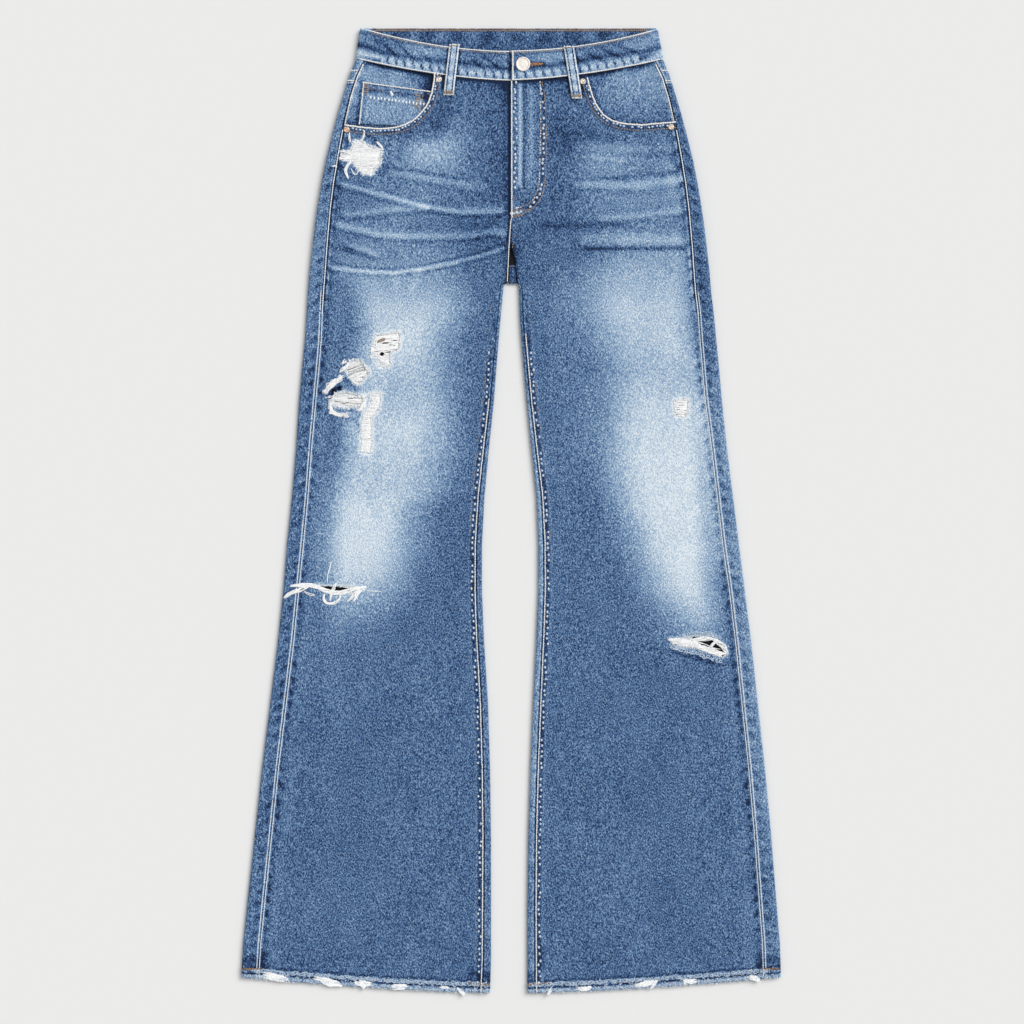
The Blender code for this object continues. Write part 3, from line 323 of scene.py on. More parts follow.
def washed_denim(name):
    """Denim that has been stone-washed: a blue warp over a white weft, with the blue rubbed off the high threads.

    The eye sees pale worn specks on blue, and paler cloth where the wear attribute is higher.
    """
    made, tree = new_material(name)
    where = add_node(tree, "TexCoord").outputs["Object"]
    wear = add_node(tree, "Attribute", {"attribute_name": "wear"}).outputs["Fac"]

    def joined_by(operation, a, b):
        return add_node(tree, "Math", {"operation": operation}, {0: a, 1: b}).outputs[0]

    def speck(size, strength, detail, warp, stretch, turn=0.0):
        """Noise with features of this size in millimetres, centred on 0."""
        at = add_node(tree, "Mapping", inputs={
            "Vector": where, "Scale": [s / size / MM for s in stretch], "Rotation": (0.0, 0.0, turn)})
        noise = add_node(tree, "TexNoise", inputs={
            "Vector": at.outputs[0], "Scale": 1.0, "Detail": detail, "Roughness": 0.6, "Distortion": warp})
        return joined_by("MULTIPLY", joined_by("SUBTRACT", noise.outputs["Fac"], 0.5), strength)

    # the 0.5 mm yarns, drawn at 3 to 4 mm as the photograph's specks are, and leaning with the twill
    grain = joined_by("ADD", speck(1.5, 1.02, 0.0, 0.2, (1.25, 0.8, 1.0), 0.5),
                      speck(1.0, 0.55, 0.0, 0.0, (1.1, 0.75, 1.0), 0.5))
    # slubs in the warp
    grain = joined_by("ADD", grain, speck(4.0, 0.16, 1.0, 0.4, (1.0, 0.45, 1.0)))
    # where the blue is almost gone there is little left to speckle
    fades = add_node(tree, "MapRange", inputs={
        "Value": wear, "From Min": 0.40, "From Max": 0.95, "To Min": 1.0, "To Max": 0.42})
    worn = joined_by("ADD", joined_by("MULTIPLY", grain, fades.outputs[0]), wear)
    # uneven washing
    total = joined_by("ADD", worn, speck(38.0, 0.16, 2.0, 0.3, (1.0, 0.55, 1.0)))
    dye = add_node(tree, "ValToRGB", inputs={"Fac": total})
    stops = (
        (0.0, "#15253f"), (0.15, "#2b4671"), (0.30, "#46658f"), (0.50, "#6b8aae"),
        (0.70, "#97b0ca"), (0.85, "#bfd0df"), (1.0, "#e6edf2"),
    )
    ramp = dye.color_ramp
    while len(ramp.elements) < len(stops):
        ramp.elements.new(0.5)
    for element, (place, code) in zip(ramp.elements, stops):
        element.position = place
        element.color = linear(code)
    rise = add_node(tree, "Bump", inputs={"Height": total, "Strength": 0.35, "Distance": 0.0005})
    surface = add_node(tree, "BsdfPrincipled", inputs={
        "Base Color": dye.outputs["Color"], "Roughness": 0.92, "Specular IOR Level": 0.18,
        "Sheen Weight": 0.05, "Sheen Roughness": 0.5})
    finish_material(tree, surface, rise.outputs["Normal"])
    return made


def painted_shade_inside(name, code):
    """The inside of the back, painted dark and flat as shade, so that the holes in the fronts read black."""
    made, tree = new_material(name)
    finish_material(tree, add_node(tree, "BsdfPrincipled", inputs={"Base Color": linear(code), "Roughness": 1.0}))
    return made


DENIM = washed_denim("washed denim")
INSIDE_PAINTED_SHADE = painted_shade_inside("inside of the denim painted dark as shade", "#10151d")


def mesh_piece(name, mesh, material):
    """An object at the origin with this mesh, smooth and of this material."""
    mesh.polygons.foreach_set("use_smooth", [True] * len(mesh.polygons))
    mesh.materials.append(material)
    piece = bpy.data.objects.new(name, mesh)
    bpy.context.scene.collection.objects.link(piece)
    return piece


def new_piece(name, bm, material, wear=None):
    """An object from a bmesh in millimetres, in metres."""
    bmesh.ops.scale(bm, vec=(MM, MM, MM), verts=bm.verts)
    mesh = bpy.data.meshes.new(name)
    bm.to_mesh(mesh)
    bm.free()
    if wear is not None:
        mesh.attributes.new("wear", "FLOAT", "POINT").data.foreach_set("value", wear.astype(np.float32))
    return mesh_piece(name, mesh, material)


def points_piece(name, points, faces, material):
    """An object from points in millimetres and faces."""
    mesh = bpy.data.meshes.new(name)
    mesh.from_pydata((points.reshape(-1, 3) * MM).tolist(), [], faces)
    return mesh_piece(name, mesh, material)


def cloth(name, columns, rows, where, lift, thick, face_up, cuts=()):
    """A piece of cloth from a flat grid. where gives x and y, then lift gives z and the wear, from both shares."""
    bm = bmesh.new()
    bmesh.ops.create_grid(bm, x_segments=columns, y_segments=rows, size=0.5)
    u, v = np.array([vert.co for vert in bm.verts])[:, :2].T + 0.5
    x, y = where(u, v)
    if cuts:
        corners = np.array([[vert.index for vert in face.verts] for face in bm.faces])
        middle_x, middle_y = x[corners].mean(1), y[corners].mean(1)
        bm.faces.ensure_lookup_table()
        all_verts = list(bm.verts)
        gone, rims = [], []
        for outline in cuts:
            hit = np.flatnonzero(inside(middle_x, middle_y, outline))
            gone += [bm.faces[i] for i in hit]
            rims.append((outline, np.unique(corners[hit])))
        bmesh.ops.delete(bm, geom=list(set(gone)), context="FACES")
        kept = np.array([vert.is_valid for vert in all_verts])
        for outline, rim in rims:
            rim = rim[kept[rim]]
            closed = tuple(outline) + (outline[0],)
            x[rim], y[rim] = away_from(x[rim], y[rim], closed)[1:]
        x, y, u, v = x[kept], y[kept], u[kept], v[kept]
    z, wear = lift(x, y, u, v)
    for vert, co in zip(bm.verts, np.stack((x, y, z), 1).tolist()):
        vert.co = co
    bm.normal_update()
    if (sum(face.normal.z * face.calc_area() for face in bm.faces) > 0.0) != face_up:
        bmesh.ops.reverse_faces(bm, faces=bm.faces)
    piece = new_piece(name, bm, DENIM, wear)
    wall = piece.modifiers.new("wall", "SOLIDIFY")
    wall.thickness = thick * MM
    wall.offset = -1.0
    return piece


def stands_for(piece, slot, *nodes):
    """The piece rides on the one body and stands for these nodes; slot is not used."""
    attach(piece, "root")
    if nodes:
        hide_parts(*nodes)
    return piece


# Columns round a back: the strip on the front, the fold, the underside, and the same at the inside seam.
STRIP_STEPS = np.array((0.0, 0.035, 0.075, 0.12, 0.18, 0.25, 0.34, 0.44, 0.55, 0.66, 0.78, 0.89, 1.0))
ARC_STEPS, UNDER_STEPS, INNER_ARC_STEPS = 10, 12, 10
INNER_STRIP_STEPS = np.array((0.0, 0.14, 0.28, 0.42, 0.56, 0.68, 0.79, 0.9, 1.0))
HIP_ROW, LEG_ROW, HEM_ROW = 2.3, 3.3, 1.2  # the spacing of rows


def row_heights(top):
    """The heights of a grid's rows down to the hem: closer on the hips and at the hem."""
    rows = [np.arange(top, 230.0, -HIP_ROW), np.arange(230.0, -512.0, -LEG_ROW), np.arange(-512.0, HEM_Y, -HEM_ROW)]
    return np.append(np.concatenate(rows), HEM_Y)


def row_at(v, heights):
    """The height of the row at share v of the way up."""
    return np.interp((1.0 - v) * (len(heights) - 1), np.arange(len(heights)), heights)


def back_section(u, y, side, dip, back_dip):
    """x, the row's y, z and the distances to both seams, for shares u round the back at height y."""
    outer, inner = outer_edge(y, side), inner_edge(y, side)
    low = SEAT_LIFT * smooth(SEAT_FROM_Y, SEAT_TO_Y, y)
    seam = side_seam(y, side)
    extra = HEM_EXTRA * leg(y, "hem")
    radius = (front_z(outer, y, side) + extra - low) / 2.0
    inner_radius = (front_z(inner, y, side) + extra - low) / 2.0
    inner_seam = inner + leg(y, "inseam")
    counts = (len(STRIP_STEPS) - 1, ARC_STEPS, UNDER_STEPS, INNER_ARC_STEPS, len(INNER_STRIP_STEPS) - 1)
    total = sum(counts)
    step = u * total
    ends = np.cumsum((0,) + counts)
    in_leg = 1.0 - np.clip((y - CROTCH_TO_LEG[1]) / (CROTCH_TO_LEG[0] - CROTCH_TO_LEG[1]), 0.0, 1.0)

    strip = np.interp(step, np.arange(ends[1] + 1), STRIP_STEPS)
    across = lerp(seam, outer - radius, strip)
    z = front_z(across, y, side) + extra
    z = np.where(strip < 1.0, lerp(z, front_z(outer, y, side) + extra, strip ** 3), z)
    turned = np.ones_like(u)

    angle = math.pi / 2.0 - math.pi * np.clip((step - ends[1]) / counts[1], 0.0, 1.0)
    on = step > ends[1]
    across = np.where(on, outer - radius + radius * np.cos(angle), across)
    z = np.where(on, low + radius + radius * np.sin(angle), z)
    turned = np.where(on, 0.5 + 0.5 * np.sin(angle), turned)

    end = lerp(TAIL, inner + inner_radius, in_leg)
    share = np.clip((step - ends[2]) / counts[2], 0.0, 1.0)
    on = step > ends[2]
    across = np.where(on, lerp(outer - radius, end, share), across)
    z, turned = np.where(on, low, z), np.where(on, 0.0, turned)

    angle = -math.pi / 2.0 - math.pi * np.clip((step - ends[3]) / counts[3], 0.0, 1.0)
    on = step > ends[3]
    tail = lerp(TAIL, CENTRE_GAP, np.clip((step - ends[3]) / (counts[3] + counts[4]), 0.0, 1.0))
    across = np.where(on, lerp(tail, inner + inner_radius + inner_radius * np.cos(angle), in_leg), across)
    z = np.where(on, lerp(low, low + inner_radius + inner_radius * np.sin(angle), in_leg), z)
    turned = np.where(on, (0.5 + 0.5 * np.sin(angle)) * in_leg, turned)

    share = np.interp(step, ends[4] + np.arange(counts[4] + 1), INNER_STRIP_STEPS)
    on = step > ends[4]
    on_strip = lerp(inner + inner_radius, inner_seam, share)
    top = front_z(on_strip, y, side) + extra
    across = np.where(on, lerp(tail, on_strip, in_leg), across)
    z = np.where(on, lerp(low, top, in_leg), z)
    turned = np.where(on, in_leg, turned)

    behind = dipped(y, back_dip, across, leg(y, "out_r"), np.where(in_leg > 0.5, DIP_POWER, BACK_DIP_POWER))
    at_y = lerp(behind, dipped(y, dip, across, leg(y, "out_r")), turned)
    to_seam = np.where(step <= ends[1], (outer - radius - seam) * strip, FAR_OFF)
    to_inner = np.where(step >= ends[4], np.abs(inner_seam - across), FAR_OFF)
    return across, at_y, z, to_seam, to_inner, turned


def back_wear(y, to_seam, to_inner, turned, side):
    """How worn a back is: rubbed beside its seams, on the folded edges and at the hem."""
    hip = smooth(*SEAM_CHANGE_Y, y)
    on_front = turned > 0.6
    wear = PLAIN_WEAR + 0.04 - 0.03 * turned + seam_edge_wear(to_seam, lerp(0.34, 0.08, hip), lerp(0.05, 0.5, hip))
    wear = wear + 0.10 * puckers(y, to_seam - 6.0, 5.0) - 0.36 * blotches(y + 3.0, to_seam - 5.4, 3.4)
    if side > 0:
        strip = lerp(0.06, 0.18, smooth(-420.0, -310.0, y)) * (1.0 - smooth(100.0, 200.0, y))
    else:
        strip = 0.10 * smooth(150.0, 250.0, y)
    wear = wear + strip * on_front
    wear = wear + seam_edge_wear(to_inner, 0.15) + bands(turned, (0.06, 0.75, 0.22))
    wear = wear - on_front * bands(y - HEM_Y, (0.38, 17.0, 6.0)) * (0.7 + 0.3 * np.sin(y / 1.9))
    return wear + hem_wear(y - HEM_Y, 40.0 * turned)


for side_name, side in SIDES:
    heights = row_heights(BACK_TOP_Y)
    found = {}

    def place(u, v, side=side, heights=heights, found=found):
        y = row_at(v, heights)
        dip = np.where(y < SEAT_END_Y, leg(y, "dip"), 0.0)
        back_dip = np.where(y < SEAT_END_Y, leg(y, "dip"), read(SEAT_ROWS, y, 1)[0])
        found["row"] = back_section(u, y, side, dip, back_dip)
        found["y"] = y
        return side * found["row"][0], found["row"][1]

    def raise_up(x, y, u, v, found=found, side=side):
        to_seam, to_inner, turned = found["row"][3:]
        z = found["row"][2] + seam_edge_z(to_seam) + seam_edge_z(to_inner)
        z = z + 0.3 * puckers(found["y"], to_seam - 3.0, 6.0)
        return z, back_wear(found["y"], to_seam, to_inner, turned, side)

    columns = len(STRIP_STEPS) + ARC_STEPS + UNDER_STEPS + INNER_ARC_STEPS + len(INNER_STRIP_STEPS) - 2
    back = cloth("back_" + side_name, columns, len(heights) - 1, place, raise_up, CLOTH, face_up=False)
    # the back's inside faces take the material painted dark as shade
    back.data.materials.append(INSIDE_PAINTED_SHADE)
    back.modifiers["wall"].material_offset = 1
    stands_for(back, "back_panel_" + side_name, "back_panel_" + side_name)

# ---- Yokes
# The pieces between the waistband and the back panels. Each reaches round the hip to the side seam on the front.
# The yokes: height, and how much lower the front and the back run at the centre.
YOKE_ROWS = np.array(((514.1, 25.0, 0.0), (504.0, 16.0, 18.0), (494.0, 7.0, 36.0), (485.3, 0.0, 55.0)))
for side_name, side in SIDES:
    found = {}

    def place(u, v, side=side, found=found):
        y = lerp(YOKE_FOOT_Y, PANEL_TOP_Y, v)
        dip, back_dip = read(YOKE_ROWS, y, 1, 2)
        found["row"] = back_section(u, y, side, dip, back_dip)
        found["y"] = y
        return side * found["row"][0], found["row"][1]

    def raise_up(x, y, u, v, found=found):
        to_seam, to_inner, turned = found["row"][3:]
        z = found["row"][2] + seam_edge_z(to_seam)
        wear = PLAIN_WEAR + 0.1 + 0.08 * turned + seam_edge_wear(to_seam)
        return z, wear + bands(found["y"] - YOKE_FOOT_Y, (0.3, 1.2, 1.0), (-0.4, 0.0, 0.6))

    yoke = cloth("yoke_piece_" + side_name, columns, 16, place, raise_up, CLOTH, face_up=False)
    stands_for(yoke, "yoke_" + side_name, "yoke_" + side_name)

# ---- Front panels
# Each front is one piece from the waistband to the hem, sewn to the back's margins. The pocket mouths are cut out of
# it, the thighs and knees are worn through in places, and the cloth is rubbed pale down both thighs.
# The centre edge of the fronts: height, and where it is on the right and on the left one.
CENTRE_ROWS = np.array((
    (600.0, -4.0, -0.4), (348.0, -4.0, -0.4), (330.0, 0.3, 0.3), (302.0, 0.6, 0.3), (286.0, 3.6, 5.0),
    (262.0, 6.4, 7.6),
))
CROTCH_STEP, STEP_FROM_Y = 3.9, 246.0  # how far the fronts stand back from the crotch, and above what height
RECESS, RECESS_WIDTH = ((1.1, 301.5), (1.1, 262.0)), 7.0  # the shade where the fronts part below the fly
CUT_BEYOND_X, CUT_ABOVE_Y = 260.0, 560.0  # the mouths are cut out as far as this, well past the panel's edges
MOUTHS = {
    -1: ((-87.8, 496.5), (-90.1, 478.2), (-95.8, 461.7), (-109.4, 446.3), (-123.1, 438.9),
         (-140.2, 435.5), (-160.7, 436.0), (-179.0, 438.3), (-188.0, 439.7)),
    1: ((87.8, 491.9), (92.3, 474.8), (99.2, 458.8), (110.6, 446.3), (125.4, 441.7),
        (147.1, 439.5), (168.7, 441.7), (186.0, 443.0)),
}
RIPS = {
    -1: (
        ((-193.3, 408.8), (-183.0, 410.4), (-178.2, 421.6), (-170.2, 420.8), (-157.3, 413.6), (-147.0, 411.0),
         (-148.5, 394.4), (-154.1, 389.7), (-158.1, 381.7), (-168.6, 383.3), (-174.2, 388.0), (-181.4, 397.6),
         (-192.5, 399.2)),
        ((-154.9, 199.7), (-127.0, 203.3), (-125.9, 196.2), (-128.1, 183.4), (-137.5, 179.9),
         (-137.5, 166.0), (-143.3, 163.1), (-152.6, 167.1), (-150.8, 176.5), (-157.8, 176.5)),
        ((-184.0, 170.7), (-171.2, 171.8), (-161.3, 156.6), (-173.5, 142.7), (-179.3, 145.0), (-188.7, 159.0)),
        ((-200.3, 133.4), (-189.8, 135.8), (-171.2, 130.0), (-166.6, 131.1), (-167.7, 120.6),
         (-174.6, 118.3), (-190.9, 117.1), (-204.1, 120.3)),
        ((-160.7, 133.4), (-149.1, 134.6), (-148.0, 125.3), (-151.4, 113.7), (-159.6, 105.4), (-158.5, 79.9),
         (-159.6, 65.9), (-171.2, 67.1), (-170.1, 77.6), (-170.7, 96.2), (-167.7, 113.7), (-159.6, 120.6)),
        ((-224.0, -84.6), (-212.0, -85.6), (-200.0, -85.4), (-190.0, -87.4), (-180.0, -88.2), (-168.0, -89.8),
         (-178.0, -92.6), (-190.0, -95.0), (-202.0, -94.6), (-214.0, -91.6)),
    ),
    1: (
        ((185.8, 125.6), (202.7, 126.7), (201.7, 117.2), (200.6, 109.8), (197.4, 106.6), (187.0, 108.8)),
        ((180.6, -146.3), (194.3, -145.2), (211.1, -143.1), (230.1, -143.1), (244.9, -154.7), (246.9, -163.1),
         (240.7, -167.4), (228.0, -163.1), (211.1, -156.8), (198.5, -155.7), (185.8, -153.6)),
    ),
}
# Small holes worn right through beside the torn places.
WORN_THROUGH = {
    -1: (
        ((-198.6, 139.8), (-195.6, 142.2), (-192.7, 139.4), (-195.8, 136.6)),
        ((-205.4, 136.4), (-202.6, 138.6), (-200.2, 136.2), (-203.0, 133.8)),
    ),
    1: (),
}
# The broad fades down the thighs: height, the outer and inner edge of the pale cloth, and how pale it is.
FADES = {
    -1: np.array((
        (342.0, 190.0, 69.0, 0.04), (320.0, 189.0, 69.0, 0.12),
        (274.0, 195.0, 67.0, 0.27), (251.0, 178.0, 58.0, 0.36),
        (229.0, 170.0, 58.0, 0.50), (206.0, 166.0, 72.0, 0.55),
        (183.0, 172.0, 79.0, 0.56), (160.0, 176.0, 75.0, 0.48),
        (137.0, 188.0, 70.0, 0.43), (115.0, 190.0, 72.0, 0.49), (92.0, 188.0, 72.0, 0.54), (69.0, 188.0, 74.0, 0.53),
        (46.0, 195.0, 79.0, 0.48), (23.0, 202.0, 86.0, 0.50), (0.6, 206.0, 111.0, 0.57), (-22.0, 209.0, 115.0, 0.59),
        (-45.0, 211.0, 117.0, 0.57), (-68.0, 209.0, 123.0, 0.55), (-91.0, 210.0, 127.0, 0.40),
        (-113.0, 212.0, 140.0, 0.27), (-136.0, 218.0, 160.0, 0.12), (-160.0, 218.0, 160.0, 0.0),
    )),
    1: np.array((
        (342.0, 199.0, 115.0, 0.03), (320.0, 199.5, 115.0, 0.13), (297.0, 206.0, 113.0, 0.26),
        (274.0, 204.0, 88.0, 0.37), (251.0, 202.0, 82.0, 0.43),
        (229.0, 204.0, 88.0, 0.50), (206.0, 204.0, 99.0, 0.50),
        (183.0, 211.0, 107.0, 0.48), (160.0, 213.0, 115.0, 0.45),
        (137.0, 215.5, 111.0, 0.49), (115.0, 218.0, 113.0, 0.55),
        (92.0, 219.0, 113.0, 0.59), (46.0, 222.0, 115.0, 0.60), (23.0, 223.5, 121.0, 0.61), (0.6, 224.6, 129.0, 0.62),
        (-22.0, 225.7, 140.0, 0.61), (-45.0, 227.0, 144.0, 0.62),
        (-68.0, 227.0, 153.0, 0.59), (-91.0, 230.0, 157.0, 0.52),
        (-113.0, 234.0, 173.0, 0.42), (-136.0, 236.0, 179.0, 0.30), (-165.0, 236.0, 179.0, 0.0),
    )),
}
FADE_SOFT_OUTER, FADE_SOFT_INNER = 46.0, 84.0
# Where the cloth is rubbed pale or left dark elsewhere, and a painted shadow under the left knee's curled rim: how
# much, how wide, and the line that it follows.
RUBBED = (
    (0.20, 20.0, ((-110.0, 404.0), (-72.0, 408.0))),
    (0.08, 18.0, ((-90.0, 376.0), (-58.0, 376.0))),
    (-0.07, 34.0, ((-182.0, 392.0), (-172.0, 330.0))),
    (-0.16, 12.0, ((-120.0, 428.0), (-84.0, 440.0), (-72.0, 470.0))),
    (-0.04, 16.0, ((-215.5, 251.4), (-223.4, 126.0))),
    (0.14, 16.0, ((96.0, 398.0), (136.0, 404.0))),
    (-0.10, 13.0, ((60.0, 424.0), (100.0, 424.0), (132.0, 420.0), (176.0, 416.0))),
    (0.07, 30.0, ((60.0, 240.0), (72.0, 140.0), (68.0, 60.0))),
    (0.11, 21.0, ((92.0, 380.0), (120.0, 366.0), (188.0, 370.0))),
    (0.07, 20.0, ((92.0, 346.0), (184.0, 348.0))),
    (0.06, 24.0, ((-152.0, 354.0), (-112.0, 347.0))),
    (-0.14, 9.0, ((-106.0, 470.0), (-100.0, 452.0))),
    (0.05, 28.0, ((-200.0, -160.0), (-190.0, -200.0))),
    (-0.10, 16.0, ((-104.0, 320.0), (-36.0, 320.0))),
    (0.09, 14.0, ((-98.0, 411.0), (-86.0, 411.0))),
    (0.06, 14.0, ((104.0, 400.0), (180.0, 400.0))),
    (0.06, 12.0, ((-196.0, 236.0), (-196.0, 152.0))),
    (0.06, 14.0, ((204.0, -96.0), (206.0, -108.0))),
    (-0.60, 3.0, ((-196.0, 139.6), (-203.0, 135.6), (-206.0, 131.6))),
    (-0.60, 1.6, ((-174.5, 109.8), (-173.5, 108.6))),
    # painted shadow under the curled lower rim of the left knee's tear
    (-0.34, 1.6, ((186.0, -160.5), (200.0, -166.5), (214.0, -169.0), (230.0, -173.5), (240.0, -174.5))),
    (-0.42, 2.6, ((-190.0, 118.6), (-178.0, 114.6))),
    (-0.36, 3.0, ((-187.0, 149.0), (-177.0, 140.0))),
    (-0.34, 5.0, ((-284.0, -508.0), (-283.0, -518.0))),
    (-0.26, 4.5, ((-44.0, -528.0), (-30.0, -531.0))),
    (-0.30, 5.0, ((285.0, -510.0), (283.0, -517.0))),
    (-0.26, 4.0, ((34.0, -500.0), (34.0, -520.0))),
)
# The hips are paler than the fly: where this starts and is full, how pale it is, and the tone at the centre.
HIP_PALE = {-1: (14.0, 66.0, 0.05, -0.05), 1: (46.0, 116.0, 0.03, -0.03)}
HIP_FROM_Y, HIP_TO_Y, HIP_SEAM_DARK = 285.0, 330.0, 0.16
INSEAM_PALE_Y = {-1: (210.0, 120.0), 1: (235.0, 190.0)}  # the inside seam's pale edge grows down from here
INSEAM_TOP_Y = 255.0
# Sharp creases set by sitting, and painted shadow lines along the fly and below a torn rim: how pale, how high, how
# wide, and where. Pale ones stand up and dark ones are troughs.
# A pale one that runs across for more than LEVEL_RUN has a painted shadow line under it.
LEVEL_RUN, CREASE_TONE, CREASE_NARROW = 20.0, 1.1, 0.9
SHADOW_UNDER_TONE, SHADOW_UNDER_AT, SHADOW_UNDER_WIDTH = 0.75, 1.2, 0.45
CREASES = (
    (-0.22, -0.30, 2.6, ((-144.8, 391.6), (-96.9, 384.7), (-49.0, 375.6))),
    (0.13, 0.40, 6.1, ((-136.8, 386.5), (-80.9, 376.8), (-33.1, 367.6))),
    (0.30, 0.50, 4.4, ((-196.1, 373.3), (-150.9, 360.8), (-96.9, 346.4), (-57.0, 340.3), (-10.3, 341.4))),
    (-0.15, -0.30, 2.8, ((-196.1, 376.8), (-151.6, 364.8), (-96.9, 350.5), (-57.0, 344.3))),
    (0.19, 0.35, 4.8, ((-188.1, 336.9), (-128.8, 343.3), (-96.9, 344.8))),
    (0.25, 0.50, 4.8, ((-197.2, 325.5), (-150.9, 314.4), (-118.6, 312.2), (-51.3, 312.9), (-21.7, 317.5),
                       (-6.2, 315.6))),
    (0.17, 0.40, 4.1, ((-184.7, 301.5), (-151.6, 291.3))),
    (-0.15, -0.30, 2.8, ((-189.2, 298.1), (-155.0, 286.7))),
    (0.26, 0.50, 3.6, ((-201.8, 276.7), (-168.7, 273.0), (-134.9, 271.3), (-101.5, 275.4), (-68.4, 282.1),
                       (-34.5, 290.5), (-9.5, 298.9))),
    (-0.27, -0.40, 2.0, ((-201.8, 281.1), (-168.7, 276.4), (-134.9, 274.5), (-101.5, 278.7), (-68.4, 285.6),
                         (-34.5, 293.9), (-9.5, 302.3))),
    (0.11, 0.25, 4.1, ((-132.2, 268.5), (-131.1, 254.8))),
    (0.11, 0.25, 4.1, ((-103.7, 276.4), (-112.9, 251.4))),
    (-0.12, -0.20, 4.1, ((-197.2, 300.4), (-181.3, 297.0))),
    (0.13, 0.40, 7.8, ((76.4, 415.5), (131.1, 413.2), (187.0, 415.5))),
    (0.11, 0.30, 4.1, ((70.7, 405.3), (131.1, 399.6))),
    (-0.19, -0.30, 2.6, ((74.1, 376.8), (123.1, 378.5), (187.0, 384.7))),
    (0.16, 0.40, 6.1, ((76.4, 372.2), (147.1, 369.9), (193.8, 376.8))),
    (0.17, 0.40, 4.1, ((102.6, 332.3), (147.1, 335.7), (194.9, 341.4))),
    (-0.15, -0.30, 4.9, ((35.3, 324.3), (131.1, 324.3))),
    (0.16, 0.40, 7.8, ((84.4, 308.4), (192.7, 308.4))),
    (-0.31, -0.40, 2.0, ((85.2, 298.1), (196.9, 298.8))),
    (0.42, 0.60, 2.5, ((10.2, 485.6), (10.6, 428.0), (9.8, 370.4))),
    (0.12, 0.20, 12.0, ((20.0, 478.0), (20.0, 372.0))),
    (-0.30, -0.20, 1.3, ((15.2, 485.6), (15.2, 366.0))),
    # these four: painted shadow that the left front's edge casts on the right front along the fly and below it, each in
    # a slight trough
    (-0.72, -0.20, 1.2, ((-1.9, 488.0), (-1.8, 340.0))),
    (-0.09, -0.10, 4.0, ((-6.0, 488.0), (-6.0, 340.0))),
    (-0.50, -0.20, 1.0, ((-1.8, 338.0), (-4.6, 305.0))),
    (-0.16, -0.20, 9.0, ((-6.0, 484.0), (-6.0, 472.0))),
    (-0.30, -0.20, 1.3, ((36.3, 487.3), (36.8, 437.6), (35.6, 383.3), (33.6, 364.4), (28.0, 352.0), (18.0, 343.6))),
    (0.17, 0.20, 2.0, ((23.5, 478.0), (23.5, 392.0))),
    (-0.50, -0.30, 1.0, ((-169.0, 428.5), (-160.0, 425.5), (-151.0, 418.5), (-147.5, 412.0))),
    # painted shadow below the curled rim of the torn hole above it
    (-0.40, -0.20, 1.2, ((-172.0, 89.0), (-177.0, 104.0), (-205.0, 103.0))),
)
# The waistband's seam and the front belt loops, whose shadows are painted on the cloth beside them.
BAND_BOTTOM_Y, BAND_DIP, BAND_SPAN, BAND_POWER = 514.4, 25.0, 177.0, 1.6
LOOP_WIDTH = 11.8
FRONT_LOOPS = (
    ("belt_loop_front_right", -64.4, 531.0, -71.2, 472.5),
    ("belt_loop_front_left", 65.5, 528.6, 75.2, 468.4),
)
EDGE_OFFSETS = np.array((0.0, 0.6, 1.2, 1.9, 2.7, 3.7, 5.0, 6.6, 8.4, 10.4, 12.6, 15.0))
MIDDLE_COLUMNS = 74


def band_bottom(x):
    """The front seam of the waistband."""
    return dipped(BAND_BOTTOM_Y, BAND_DIP, x, BAND_SPAN, BAND_POWER)


def loop_painted_shadow(x, y):
    """Painted shadow beside the front belt loops."""
    dark = 0.0
    for _, x0, y0, x1, y1 in FRONT_LOOPS:
        away = away_from(x, y, ((x0, y0), (x1, y1 + 10.0)))[0]
        dark = dark + bands(away, (0.50, LOOP_WIDTH / 2.0 + 0.8, 1.4))
    return dark


def painted_band_and_loop_shadow(x, y):
    """The same, with the painted shadow under the waistband's seam."""
    return bands(band_bottom(x) - y, (0.60, 0.9, 2.0), (0.14, 3.0, 4.5)) + loop_painted_shadow(x, y)


def hem_line(across):
    """The lower edge of both hems."""
    return dipped(HEM_Y, leg(HEM_Y, "dip"), across, leg(HEM_Y, "out_r"))


def front_face(x, y, side):
    """The upper face of a front with its creases, puckers and turned edges."""
    across = side * x
    z = front_z(across, y, side) + HEM_EXTRA * leg(y, "hem")
    for _, height, width, points in CREASES:
        if points[0][0] * side > 0.0:
            z = z + height * bump_at(away_from(x, y, points)[0], width)
    to_seam, to_inner = seam_distances(across, y, side)
    z = z + seam_edge_z(to_seam) + seam_edge_z(to_inner)
    z = z + 0.3 * puckers(y, to_seam - 3.0, 6.0)
    felled = smooth(0.0, 1.5, to_inner) * (1.0 - smooth(8.0, 9.5, to_inner)) * smooth(230.0, 150.0, y)
    return z + 0.25 * felled + 0.18 * puckers(y, to_inner - 5.0, 4.0, 8.6) * (y < 250.0)


def seam_distances(across, y, side):
    """How far a place on a front is from its side seam and from its inside seam or centre edge."""
    level = 2.0 * y - dipped(y, leg(y, "dip"), across, leg(y, "out_r"))
    return front_edge(level, side) - across, across - inner_limit(level, side)


def inner_limit(y, side):
    """Where a front's inner edge runs: the fly's centre above the crotch and the inside seam below."""
    centre = read(CENTRE_ROWS, y, 1 if side < 0 else 2)[0]
    in_leg = inner_edge(y, side) + np.where(y > STEP_FROM_Y, CROTCH_STEP, leg(y, "inseam") + SEAM_GAP)
    share = np.clip((CROTCH_TO_LEG[0] - y) / (CROTCH_TO_LEG[0] - CROTCH_TO_LEG[1]), 0.0, 1.0)
    return lerp(centre, in_leg, share)


